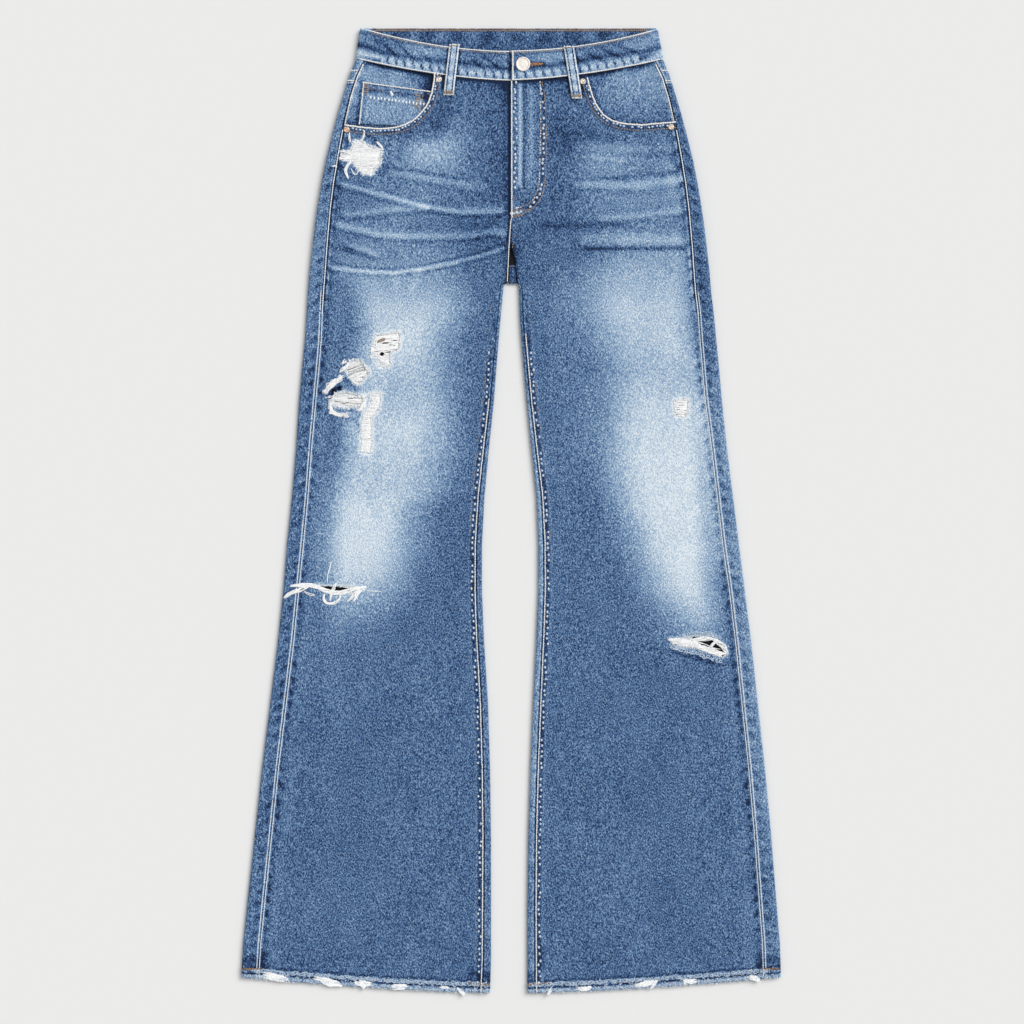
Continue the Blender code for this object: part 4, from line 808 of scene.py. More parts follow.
def front_wear(x, y, side):
    """How worn a front is at each place."""
    across = side * x
    outer, inner, tone = read(FADES[side], y, 1, 2, 3)
    half_in, half_out = FADE_SOFT_INNER / 2.0, FADE_SOFT_OUTER / 2.0
    pale = smooth(inner - half_in, inner + half_in, across) * (1.0 - smooth(outer - half_out, outer + half_out, across))
    wear = PLAIN_WEAR + tone * pale
    for tone, width, points in RUBBED:
        if points[0][0] * side > 0.0:
            wear = wear + tone * bump_at(away_from(x, y, points)[0], width)
    for tone, _, width, points in CREASES:
        if points[0][0] * side > 0.0:
            distance, _, at_y = away_from(x, y, points)
            wear = wear + CREASE_TONE * tone * bump_at(distance, CREASE_NARROW * width)
            if tone > 0.0 and abs(points[0][0] - points[-1][0]) > LEVEL_RUN:
                # painted shadow on the lower side of a crease that runs across
                below = distance * np.sign(at_y - y)
                wear = wear - SHADOW_UNDER_TONE * tone * bump_at(below - SHADOW_UNDER_AT * width, SHADOW_UNDER_WIDTH * width)
    for outline in RIPS[side]:
        wear = wear + 0.48 * bump_at(away_from(x, y, outline + outline[:1])[0], 1.6)

    hips = smooth(HIP_FROM_Y, HIP_TO_Y, y)
    dark_to, pale_from, tone, centre_tone = HIP_PALE[side]
    wear = wear + hips * lerp(centre_tone, tone, smooth(dark_to, pale_from, across))

    to_seam, to_inner = seam_distances(across, y, side)
    wear = wear + lerp(seam_edge_wear(to_seam, 0.30, 0.05), hip_seam_wear(to_seam), smooth(*SEAM_CHANGE_Y, y))
    wear = wear - 0.52 * blotches(y, to_seam - 4.6, 3.4) + 0.10 * puckers(y, to_seam - 6.0, 5.0)
    faded = (0.20 if side > 0 else 0.10) * smooth(-100.0, -40.0, y) * (1.0 - smooth(110.0, 190.0, y))
    wear = wear + bands(to_seam, (faded, 5.0, 7.0), (0.06, 14.0, 9.0), (-HIP_SEAM_DARK * hips, 3.0, 8.0))
    in_leg = smooth(*INSEAM_PALE_Y[side], y) * (y < INSEAM_TOP_Y)
    wear = wear + in_leg * (seam_edge_wear(to_inner, 0.2, 0.3) + bands(to_inner, (-0.26, 4.6, 2.2), (0.12, 8.6, 1.4)))

    wear = wear + hem_wear(y - hem_line(across), x)
    # painted shade where the fronts part below the fly, and painted shadow under the waistband and beside the loops
    return wear - 0.30 * bump_at(away_from(x, y, RECESS)[0], RECESS_WIDTH) - painted_band_and_loop_shadow(x, y)


for side_name, side in SIDES:
    heights = row_heights(PANEL_TOP_Y)
    edge = len(EDGE_OFFSETS) - 1
    columns = MIDDLE_COLUMNS + 2 * edge

    def place(u, v, side=side, heights=heights, columns=columns, edge=edge):
        y = row_at(v, heights)
        first = front_edge(y, side)
        last = inner_limit(y, side)
        step = u * columns
        offset = np.interp(step, np.arange(edge + 1), EDGE_OFFSETS)
        back_offset = np.interp(columns - step, np.arange(edge + 1), EDGE_OFFSETS)
        middle = np.clip((step - edge) / MIDDLE_COLUMNS, 0.0, 1.0)
        across = lerp(first - EDGE_OFFSETS[-1], last + EDGE_OFFSETS[-1], middle)
        across = np.where(step < edge, first - offset, across)
        across = np.where(columns - step < edge, last + back_offset, across)
        return side * across, dipped(y, leg(y, "dip"), across, leg(y, "out_r"))

    def raise_up(x, y, u, v, side=side):
        return front_face(x, y, side), front_wear(x, y, side)

    mouth = MOUTHS[side]
    far = side * CUT_BEYOND_X
    opening = (*mouth, (far, mouth[-1][1]), (far, CUT_ABOVE_Y), (mouth[0][0], CUT_ABOVE_Y))
    front = cloth(
        "front_" + side_name, columns, len(heights) - 1, place, raise_up, CLOTH, face_up=True,
        cuts=(opening, *RIPS[side], *WORN_THROUGH[side]),
    )
    stands_for(front, "front_panel_" + side_name, "front_panel_" + side_name)

# ---- Mouths of the front pockets
# The edge of each front is turned under along the pocket's mouth and sewn down with two rows, cream at the edge and
# copper outside it.
MOUTH_HEM, MOUTH_HEM_CLOTH, MOUTH_HEM_RISE = 9.0, 0.5, 0.45
RIBBON_PITCH = 1.6


def resampled(points, pitch):
    """Places along a line through these points, about this far apart, with the way the line runs there."""
    points = np.array(points, float)
    steps = np.hypot(*np.diff(points[:, :2], axis=0).T)
    run = np.concatenate(((0.0,), np.cumsum(steps)))
    count = max(2, int(round(run[-1] / pitch)) + 1)
    at = np.linspace(0.0, run[-1], count)
    line = np.stack([np.interp(at, run, column) for column in points.T], 1)
    way = np.gradient(line[:, :2], axis=0)
    return line, way / np.hypot(*way.T)[:, None], at


def left_of(way):
    """The directions to the left of these ones."""
    return np.stack((-way[:, 1], way[:, 0]), 1)


def rounded(points):
    """The same line with its corners cut twice, so that it bends smoothly."""
    points = np.array(points, float)
    for _ in range(2):
        inner = np.stack((points[:-1] * 0.75 + points[1:] * 0.25, points[:-1] * 0.25 + points[1:] * 0.75), 1)
        points = np.concatenate((points[:1], inner.reshape(-1, 2), points[-1:]))
    return points


def ribbon(name, line, width, columns, lift, thick, left_side):
    """A strip of cloth along one side of a line. lift gives z and wear from x, y, how far along and how far out."""
    places, way, at = resampled(line, RIBBON_PITCH)
    out = left_of(way) * (1.0 if left_side else -1.0)
    state = {}

    def where(u, v):
        index = np.round(v * (len(places) - 1)).astype(int)
        state["along"], state["out"] = at[index], u * width
        return (places[index] + out[index] * (u * width)[:, None]).T

    def lifted(x, y, u, v):
        return lift(x, y, state["along"], state["out"])

    return cloth(name, columns, len(places) - 1, where, lifted, thick, face_up=True)


for side_name, side in SIDES:
    def hem_lift(x, y, along, out, side=side):
        full = smooth(0.0, 1.6, out) * (1.0 - smooth(MOUTH_HEM - 1.6, MOUTH_HEM, out))
        z = front_face(x, y, side) + MOUTH_HEM_RISE * full + 0.05 - 0.5 * bump_at(out, 0.5)
        wear = lerp(front_wear(x, y, side), 0.16, smooth(1.0, 2.4, out) * (1.0 - smooth(6.0, 8.6, out)))
        return z, wear + bands(out, (0.75, 0.5, 1.1), (0.14 * np.sin(along / 1.35), 4.0, 2.0))

    mouth_hem = ribbon(
        "mouth_hem_" + side_name, rounded(MOUTHS[side]), MOUTH_HEM, 11, hem_lift, MOUTH_HEM_CLOTH,
        left_side=side < 0,
    )
    stands_for(mouth_hem, "front_panel_" + side_name)

# ---- Topstitching
# Core-spun sewing thread on the seams, in cream and in copper, with white where washing has bared it. Each stitch is
# a short length of thread half sunk into the cloth.
STITCH_PITCH, STITCH_LENGTH, STITCH_RADIUS = 3.2, 2.8, 0.42
STITCH_RISE = 0.1  # how far a stitch's middle stands above the cloth, as a share of its thickness
draw = np.random.default_rng(7)


def two_toned(name, codes, places, scale, detail, rise, depth, finish):
    """A material whose colour and relief follow one fine noise, from its dark colour to its pale one."""
    made, tree = new_material(name)
    where = add_node(tree, "TexCoord").outputs["Object"]
    noise = add_node(tree, "TexNoise", inputs={"Vector": where, "Scale": scale, "Detail": detail}).outputs["Fac"]
    shade = add_node(tree, "ValToRGB", inputs={"Fac": noise})
    for element, place, code in zip(shade.color_ramp.elements, places, codes):
        element.position, element.color = place, linear(code)
    relief = add_node(tree, "Bump", inputs={"Height": noise, "Strength": rise, "Distance": depth})
    surface = add_node(tree, "BsdfPrincipled", inputs={"Base Color": shade.outputs["Color"], **finish})
    finish_material(tree, surface, relief.outputs["Normal"])
    return made


def spun_thread(name, code, dark_code):
    """Spun cotton or core thread: slightly shiny, with darker nicks between its plies."""
    return two_toned(name, (dark_code, code), (0.36, 0.58), 650.0, 2.0, 0.4, 0.0003, {
        "Roughness": 0.65, "Specular IOR Level": 0.35, "Sheen Weight": 0.2})


THREADS = {
    "cream": spun_thread("cream sewing thread", "#fffcf7", "#ece5dc"),
    "copper": spun_thread("copper sewing thread", "#b49a80", "#75604e"),
    "umber": spun_thread("dark copper sewing thread", "#9c7a5c", "#4a382c"),
    "white": spun_thread("bleached sewing thread", "#f8fbfe", "#d3e0ed"),
    "faded": spun_thread("blue-stained sewing thread", "#dfe9f3", "#9db8d6"),
}


def unit_stitch():
    """One stitch along x, one unit long and thick: its points and faces."""
    bm = bmesh.new()
    bmesh.ops.create_uvsphere(bm, u_segments=5, v_segments=4, radius=0.5)
    co = np.array([vert.co for vert in bm.verts])[:, [2, 0, 1]]
    faces = [[vert.index for vert in face.verts] for face in bm.faces]
    bm.free()
    return co, faces


STITCH = unit_stitch()


def joined(name, unit, places, material):
    """One mesh of many copies of a unit shape, each turned and sized by three axes and moved to its place."""
    co, faces = unit
    axes, origins = places
    points = np.einsum("pk,nkc->npc", co, axes) + origins[:, None, :]
    shift = np.arange(len(origins)) * len(co)
    everywhere = [[corner + step for corner in face] for step in shift.tolist() for face in faces]
    return points_piece(name, points, everywhere, material)


def stitch_row(line, height, pitch=STITCH_PITCH, length=STITCH_LENGTH, radius=STITCH_RADIUS, stray=0.12,
               missing=0.0, across=False):
    """Axes and origins of the stitches of one row along a line. height gives the cloth's z."""
    places, way, _ = resampled(line, pitch)
    if across:
        way = left_of(way)
    kept = draw.random(len(places)) >= missing
    places, way = places[kept], way[kept]
    places = places + draw.normal(0.0, stray, places.shape)
    step = 0.5
    z = height(places[:, 0], places[:, 1]) + 2.0 * STITCH_RISE * radius
    ahead = height(*(places + way * step).T) - height(*(places - way * step).T)
    along = np.column_stack((way, ahead / (2.0 * step)))
    aside = np.column_stack((left_of(way), np.zeros(len(way))))
    up = np.tile((0.0, 0.0, 1.0), (len(way), 1))
    size = length * draw.uniform(0.85, 1.1, len(way))
    axes = np.stack((along * size[:, None], aside * 2.0 * radius, up * 2.0 * radius), 1)
    return axes, np.column_stack((places, z))


def sewn(name, slot, thread, rows):
    """All these rows as one piece of this thread."""
    axes, origins = (np.concatenate(parts) for parts in zip(*rows))
    return stands_for(joined(name, STITCH, (axes, origins), THREADS[thread]), slot)


def offset_line(line, distance):
    """The line moved sideways, to its left where distance is positive."""
    places, way, _ = resampled(line, 1.5)
    return places + left_of(way) * distance


def seam_line(side, top, bottom, inset, inner):
    """A line down a leg, this far in from a front's side seam or inside seam."""
    y = np.linspace(top, bottom, 160)
    if inner:
        across = inner_limit(y, side) + inset
    else:
        across = front_edge(y, side) - inset
    return np.stack((side * across, dipped(y, leg(y, "dip"), across, leg(y, "out_r"))), 1)


J_OUTER = ((35.5, 487.3), (38.6, 469.6), (40.2, 437.6), (39.4, 383.3), (37.0, 362.4), (30.7, 349.6), (19.4, 340.1),
           (8.2, 335.3), (1.8, 334.5))
J_INNER = ((33.1, 487.3), (33.9, 437.6), (32.3, 383.3), (31.5, 367.2), (25.9, 354.4), (16.3, 346.4), (1.8, 343.3))
CENTRE_SEAM = ((0.7, 487.5), (0.8, 336.3))
CROTCH_SEAM = ((1.2, 334.0), (-0.2, 330.0), (-2.6, 298.0), (-4.2, 262.0))

for side_name, side in SIDES:
    def on_front(x, y, side=side):
        return front_face(x, y, side)

    def on_hem(x, y, side=side):
        return front_face(x, y, side) + 0.45

    def on_strip(x, y, side=side):
        return front_z(side * x, y, side)

    def on_hem_bar(x, y, side=side):
        return front_z(side * x, y, side) + HEM_EXTRA + 0.3

    edge = rounded(MOUTHS[side])
    turn = 1.0 if side < 0 else -1.0
    cream = [
        stitch_row(offset_line(edge, turn * 0.9), on_hem, 2.7, 3.8, 1.05, stray=0.15),
        stitch_row(seam_line(side, 126.0 if side < 0 else 200.0, HEM_Y + 2.0, 1.5, True), on_front, 2.9, 3.4, 0.66),
    ]
    copper = [
        stitch_row(offset_line(edge, turn * 7.2), on_hem, radius=0.62, missing=0.06),
        stitch_row(seam_line(side, 240.0, -60.0, 8.2, True), on_front, radius=0.32, missing=0.35),
    ]
    white = [
        stitch_row(seam_line(side, 432.0, 225.0, 0.7, False), on_hem, 2.8, 3.5, 0.74, stray=0.05),
        stitch_row(seam_line(side, 225.0, HEM_Y + 4.0, 0.9, False), on_hem, 2.8, 3.5, 0.54, stray=0.05),
        stitch_row(seam_line(side, 250.0, HEM_Y + 4.0, -2.1, False), on_strip, 2.8, 3.4, 0.52, stray=0.05,
                   missing=0.04),
    ]
    faded = [
        stitch_row(offset_line(edge, turn * 3.8), on_hem, 4.1, 2.9, 1.15, missing=0.2, stray=0.5),
        stitch_row(seam_line(side, 180.0, HEM_Y + 12.0, 4.9, True), on_front, 6.4, 3.4, 1.35, stray=0.7,
                   missing=0.15),
    ]
    hem_out, hem_in = outer_edge(HEM_Y, side), inner_edge(HEM_Y, side)
    bars = [
        stitch_row(((side * x0, y0 - lower), (side * x1, y1 - lower)), on_hem_bar, 2.3, 2.6, 0.6)
        for lower in (0.0, 1.2)
        for x0, y0, x1, y1 in (
            (hem_out - 21.8, -521.8, hem_out - 1.8, -521.4), (hem_in + 1.5, -539.4, hem_in + 24.0, -538.2))
    ]
    if side > 0:
        cream += [
            stitch_row(CROTCH_SEAM, on_front, 2.7, 3.4, 0.62, stray=0.06),
            stitch_row(J_INNER, on_front, missing=0.35, radius=0.6),
        ]
        copper += [
            stitch_row(rounded(J_OUTER), on_front, 3.0, 3.1, 0.58, missing=0.05),
            stitch_row(rounded(J_INNER), on_front, radius=0.56, missing=0.15),
            stitch_row(((0.0, 340.8), (20.0, 342.6)), on_front, 1.4, 2.4, 0.5, across=True),
            stitch_row(((0.0, 334.8), (13.0, 335.8)), on_front, 1.3, 2.2, 0.5, across=True),
            stitch_row(((3.2, 358.0), (3.2, 354.0)), on_front, 1.6, 2.2, 0.6),
            stitch_row(((5.6, 333.0), (4.2, 312.0), (1.6, 300.0)), on_front, 3.0, 2.6, 0.45, missing=0.2),
        ]
        white += [
            stitch_row(CENTRE_SEAM, on_front, 2.7, 3.6, 0.9, stray=0.06),
            stitch_row(((-0.6, 338.0), (9.6, 338.8)), on_front, 1.3, 2.8, 0.55, across=True),
        ]
        faded += [
            stitch_row(((4.6, 486.0), (4.7, 400.0), (4.2, 345.0)), on_front, 5.6, 3.8, 1.4, stray=0.9, missing=0.2),
            stitch_row(offset_line(rounded(J_OUTER), -3.2)[4:-4], on_front, 5.8, 3.6, 1.5, missing=0.2, stray=0.8),
        ]
    slot = "front_panel_" + side_name
    sewn("topstitch_cream_" + side_name, slot, "cream", cream)
    sewn("topstitch_copper_" + side_name, slot, "copper", copper)
    sewn("hem_bars_" + side_name, slot, "umber", bars)
    sewn("topstitch_white_" + side_name, slot, "white", white)
    sewn("topstitch_faded_" + side_name, slot, "faded", faded)

# ---- Crotch
# Below the fly the fronts part a little and show the back's crotch seam, a stub of folded denim in deep shade, which is
# painted into its colour.
CROTCH_X, CROTCH_HEIGHTS, CROTCH_Z = (-2.6, 6.2), (258.5, 280.0), 3.4


def crotch_place(u, v):
    """The stub's outline."""
    return lerp(*CROTCH_X, u), lerp(*CROTCH_HEIGHTS, v)


def crotch_lift(x, y, u, v):
    """Turned down at its sides, and painted dark as shade: paler along its middle and darkest at its top."""
    z = CROTCH_Z - 0.5 * np.abs(2.0 * u - 1.0) ** 3
    # painted shade: dark all over and darkest at the top
    return z, 0.10 + bands(u, (0.16, 0.5, 0.25)) - bands(v, (0.2, 1.0, 0.2))


def on_crotch(x, y):
    """The stub's face, for its stitches."""
    return np.full(np.shape(x), CROTCH_Z)


crotch = cloth("crotch_seam", 8, 16, crotch_place, crotch_lift, 0.8, face_up=True)
stands_for(crotch, "back_panel_right")
sewn("crotch_stitches", "back_panel_right", "copper", [
    stitch_row(((-2.2, 278.5), (5.8, 278.5)), on_crotch, 2.4, 2.6, 0.5)])
for side_name, side in SIDES:
    def on_yoke(x, y, side=side):
        return front_z(side * x, y, side)

    yoke_seam = []
    for height in (487.0, 498.6):
        hip = outer_edge(height, side)
        line = ((side * (hip - 7.2), height + 2.5), (side * (hip - 1.6), height + 2.5))
        yoke_seam.append(stitch_row(line, on_yoke, 2.6, 3.2, 0.8, stray=0.05))
    sewn("yoke_seam_" + side_name, "yoke_" + side_name, "cream", yoke_seam)

# ---- Pocket facings, coin pocket and underlap
# Behind each mouth lies the pocket's facing, of the same denim but less worn. The right one carries the small coin
# pocket, and the underlap of the fly lies between the fronts.
POCKET_CLOTH = 1.0
# The facings: height, how much lower the row runs at the centre, and where the inner edge is.
FACING_ROWS = np.array((
    (514.1, 25.0, 74.0), (500.0, 20.0, 75.0), (484.0, 14.5, 77.0), (470.0, 10.0, 80.0), (456.0, 6.5, 88.0),
    (443.0, 3.0, 100.0), (432.0, 1.0, 108.0), (424.0, 0.0, 116.0),
))
FACING_LOW = {-1: 4.0, 1: 5.2}  # the facing's face where it lies under the panel
FACING_DARK_FROM, FACING_DARK_TO = 94.0, 108.0  # the corner behind the coin pocket lies in deep shade
FACING_STEP, FACING_RISE_WIDTH, FACING_RISE_FROM_Y, FACING_RISE_TO_Y = 0.5, 24.0, 446.0, 470.0
# Rows of the coin pocket from its mouth down: the heights of its outer and inner end, and how far out both are.
COIN_ROWS = np.array((
    (488.5, 477.6, 168.7, 88.0), (481.0, 470.4, 169.6, 88.5), (466.0, 458.0, 171.2, 90.0),
    (452.0, 446.0, 172.8, 94.0), (441.0, 437.0, 173.8, 100.0),
))
# The underlap: heights, and where it starts and ends there.
UNDERLAP_ROWS = np.array(((488.8, -20.0, 40.0), (440.0, -20.0, 38.0), (390.0, -18.0, 34.0), (350.0, -14.0, 22.0)))
UNDERLAP_TOP, UNDERLAP_WEAR = 5.3, 0.15
COIN_WIDE, COIN_TALL = 80.0, 46.0
COIN_SIDE = ((-170.4, 489.0), (-176.0, 436.0))  # where the facing is dark beside the coin pocket


def facing_z(across, y, side):
    """The upper face of a pocket facing: level with the cloth at the side seam, and lower under the panel."""
    edge = side_seam(y, side)
    share = (1.0 - smooth(0.0, FACING_RISE_WIDTH, edge - across)) * smooth(FACING_RISE_FROM_Y, FACING_RISE_TO_Y, y)
    return lerp(FACING_LOW[side], front_z(edge, y, side) - FACING_STEP, share)


for side_name, side in SIDES:
    def place(u, v, side=side):
        y = lerp(FACING_ROWS[-1, 0], FACING_ROWS[0, 0], v)
        dip, inner = read(FACING_ROWS, y, 1, 2)
        across = lerp(front_edge(y, side), inner, u)
        return side * across, dipped(y, dip, across, leg(y, "out_r"))

    def raise_up(x, y, u, v, side=side):
        to_seam, to_mouth = front_edge(y, side) - side * x, away_from(x, y, MOUTHS[side])[0]
        wear = 0.36 + 0.20 * smooth(2.0, 46.0, to_mouth) - 0.18 * bump_at(to_mouth, 4.0)
        wear = wear + seam_edge_wear(to_seam) + bands(to_seam, (0.22, 1.5, 1.2)) + 0.10 * puckers(y, to_seam - 3.0, 4.0)
        # the last term is painted shadow under the waistband and beside the loops
        wear = wear + 0.05 * np.sin((x - 0.8 * y) / 5.0) * bump_at(band_bottom(x) - y - 6.0, 10.0) - painted_band_and_loop_shadow(x, y)
        # painted shade in the corner behind the coin pocket and painted shadow beside the pocket's outer edge
        if side < 0:
            wear = wear - 0.35 * (1.0 - smooth(FACING_DARK_FROM, FACING_DARK_TO, -x))
            wear = wear - 0.42 * bump_at(away_from(x, y, COIN_SIDE)[0], 1.5)
        return facing_z(side * x, y, side) + seam_edge_z(to_seam), wear

    facing = cloth("facing_" + side_name, 44, 38, place, raise_up, POCKET_CLOTH, face_up=True)
    stands_for(facing, "pocket_facing_" + side_name, "pocket_facing_" + side_name)


def coin_place(u, v):
    """The coin pocket's outline, from its side to the fly and from its mouth down."""
    rows = (1.0 - v) * (len(COIN_ROWS) - 1)
    y_out, y_in, out, inner = (np.interp(rows, np.arange(len(COIN_ROWS)), column) for column in COIN_ROWS.T)
    return -lerp(out, inner, u), lerp(y_out, y_in, u)


def coin_lift(x, y, u, v):
    """Puffed a little, turned in at its edges, pale along its mouth and dark behind its row of white stitches, with
    painted shade along its inner end.
    """
    out, inner, top = u * COIN_WIDE, (1.0 - u) * COIN_WIDE, (1.0 - v) * COIN_TALL
    z = facing_z(-x, y, -1) + SEAM_GAP + POCKET_CLOTH + 0.25 * np.sin(math.pi * u) * smooth(0.0, 0.3, 1.0 - v)
    z = z - 0.5 * (bump_at(top, 0.8) + bump_at(out, 0.8) + bump_at(inner, 0.8))
    wear = 0.50 + bands(
        top, (0.06, 26.0, 14.0), (0.30, 0.9, 0.8), (-0.20, 3.4, 1.4), (-0.26, 11.5, 3.0), (0.10, 16.6, 1.4))
    wear = wear + bands(out, (0.22, 1.2, 0.9), (-0.2, 4.0, 1.6)) + bands(inner, (0.16, 1.2, 0.9))
    wear = wear + 0.06 * np.sin(x / 2.2) * (top < 12.0)
    # painted shade on the strip at the inner end
    return z, wear - 0.42 * (1.0 - smooth(10.5, 12.0, inner)) * smooth(1.5, 4.0, top)


coin = cloth("coin_pocket_patch", 44, 24, coin_place, coin_lift, POCKET_CLOTH, face_up=True)
stands_for(coin, "coin_pocket", "coin_pocket")


def on_coin(x, y):
    """The coin pocket's face, for its stitches."""
    return facing_z(-x, y, -1) + SEAM_GAP + POCKET_CLOTH + 0.15


sewn("coin_stitch_cream", "coin_pocket", "cream", [
    stitch_row(((-168.0, 487.6), (-90.0, 477.0)), on_coin, 2.8, 3.5, 0.8),
    stitch_row(((-168.0, 486.0), (-172.8, 441.0)), on_coin, 2.8, 3.4, 0.75),
])
for side_name, side in SIDES:
    def on_facing(x, y, side=side):
        return facing_z(side * x, y, side)

    sewn("facing_edge_stitches_" + side_name, "pocket_facing_" + side_name, "cream", [
        stitch_row(seam_line(side, 509.0, 437.0, 1.1, False), on_facing, 2.8, 3.5, 0.85, stray=0.05)])
sewn("coin_stitch_copper", "coin_pocket", "copper", [
    stitch_row(((-100.0, 475.0), (-101.8, 462.0), (-104.6, 448.0)), on_coin, radius=0.5),
    stitch_row(((-164.6, 486.0), (-165.2, 475.0)), on_coin, 2.1, 6.0, 0.62, stray=0.3, across=True),
    stitch_row(((-105.6, 474.6), (-107.6, 459.0)), on_coin, 2.1, 7.6, 0.62, stray=0.3, across=True),
    stitch_row(((-165.3, 481.0), (-98.0, 471.9)), on_coin, radius=0.36, missing=0.5),
])
sewn("coin_stitch_white", "coin_pocket", "white", [
    stitch_row(((-160.0, 470.6), (-99.5, 462.6)), on_coin, 4.2, 4.0, 1.15, stray=0.3, across=True),
    stitch_row(((-137.0, 477.0), (-135.6, 473.5)), on_coin, 1.2, 3.4, 1.2, across=True),
])


def underlap_place(u, v):
    """The underlap's outline."""
    y = lerp(UNDERLAP_ROWS[-1, 0], UNDERLAP_ROWS[0, 0], v)
    x0, x1 = read(UNDERLAP_ROWS, y, 1, 2)
    return lerp(x0, x1, u), y


def underlap_lift(x, y, u, v):
    """Flat and dark."""
    return np.full(x.shape, UNDERLAP_TOP), np.full(x.shape, UNDERLAP_WEAR)


underlap = cloth("underlap", 12, 26, underlap_place, underlap_lift, POCKET_CLOTH, face_up=True)
stands_for(underlap, "fly_underlap", "fly_underlap")

# ---- Waistband
# One strip of double denim sewn to the top of the yokes and fronts, stiff and roped by washing. Its left end lies over
# its right end and ends in a buttonhole.
BAND_THICK, BAND_TALL, BAND_TOP_Y = 2.4, 36.0, 550.0
BAND_TOP_DIP, BAND_TOP_SPAN, BAND_TOP_POWER = 26.2, 170.0, 1.9
BAND_SIDE = {-1: 172.1, 1: 167.0}
BAND_WIDER = {-1: 5.4, 1: 6.9}  # how much further each side reaches along the foot
BAND_BACK_Z, BAND_FOLD_Z = SEAT_LIFT + BAND_THICK / 2.0, 5.9  # the middle of the cloth behind, and where it folds
# The middle of the front band's cloth, by x, on each side.
BAND_FRONT = {
    -1: np.array(((42.0, 5.4), (20.0, 5.4), (-8.0, 5.4), (-40.0, 5.45), (-75.0, 5.6), (-110.0, 5.75), (-145.0, 5.9))),
    1: np.array(((142.0, 5.9), (112.0, 6.2), (84.0, 6.7), (56.0, 7.6), (30.0, 8.1), (12.0, 8.1), (0.6, 8.1))),
}
ROPING_PITCH = 9.7
END_CORNER, END_DROP = 5.0, 2.6  # the corner of the upper end is rounded by this much


def band_top(x):
    """The front top edge of the waistband."""
    return dipped(BAND_TOP_Y, BAND_TOP_DIP, x, BAND_TOP_SPAN, BAND_TOP_POWER)


def band_front_z(x):
    """The upper face of the front waistband."""
    return np.where(x > 0.0, read(BAND_FRONT[1], x, 1)[0], read(BAND_FRONT[-1], x, 1)[0]) + BAND_THICK / 2.0


def widened(x, share):
    """x at this share of the way down the band, which is wider at its foot."""
    return x * (1.0 + share * np.where(x < 0.0, BAND_WIDER[-1] / BAND_SIDE[-1], BAND_WIDER[1] / BAND_SIDE[1]))


def stations(x, z, look_x, look_z, front):
    """Rows of x, z, the way the band's outer face looks there, and 1 in front to 0 behind."""
    return np.stack(np.broadcast_arrays(x, z, look_x, look_z, front), 1)


def band_front(side, first, last, count):
    """Stations along one half of the front."""
    x = np.linspace(first, last, count)
    return stations(x, read(BAND_FRONT[side], x, 1)[0], 0.0, 1.0, 1.0)


def band_fold(side, first, last):
    """Stations round the fold at one side, between these angles."""
    radius = (BAND_FOLD_Z - BAND_BACK_Z) / 2.0
    angle = np.linspace(first, last, 13)
    x = side * (BAND_SIDE[side] - radius - BAND_THICK / 2.0 + radius * np.cos(angle))
    z = BAND_BACK_Z + radius + radius * np.sin(angle)
    return stations(x, z, side * np.cos(angle), np.sin(angle), 0.5 + 0.5 * np.sin(angle))


def band_path():
    """Stations from the lower end, right round the back, to the upper end."""
    quarter = math.pi / 2.0
    return np.concatenate((
        band_front(-1, 42.0, -145.0, 96), band_fold(-1, quarter, -quarter),
        stations(np.linspace(-160.0, 155.0, 110), BAND_BACK_Z, 0.0, -1.0, 0.0),
        band_fold(1, -quarter, quarter), band_front(1, 142.0, 0.6, 74),
    ))


def band_wear(x, y, share, run, roping):
    """How worn the outer face is: pale on its edges and ropes and dark between them, with painted shadow beside the
    loops and beside the upper end.
    """
    down = share * BAND_TALL
    nick = smooth(0.5, 0.95, roping) * bump_at(share - 0.82, 0.12)
    streak = smooth(0.25, 1.0, np.sin((run + 1.3 * down) / 3.1)) * (0.6 + 0.4 * np.sin(run / 23.0))
    wear = 0.47 - 0.75 * nick - 0.9 * loop_painted_shadow(x, y) * (np.abs(x) < 90.0) + bands(
        share, (0.12 * np.sin(run / 17.0), 0.28, 0.25), (0.34, 0.80, 0.13),
        (-0.30, 0.56 + 0.05 * np.sin(run / 21.0), 0.08), (-0.42 * streak, 0.48, 0.22))
    wear = wear + bands(down, (0.42, 0.4, 1.3), (0.36, 35.3, 1.2), (-0.16, 4.4, 1.8))
    # painted shadow that the upper end casts on the lower end beside it
    wear = wear - 0.6 * bump_at(x + 1.6, 1.5) * (x < 0.0)
    buttonhole = smooth(20.0, 22.5, x) * (1.0 - smooth(36.0, 40.0, x)) * bump_at(y - 508.2, 2.3)
    return wear - 0.7 * buttonhole


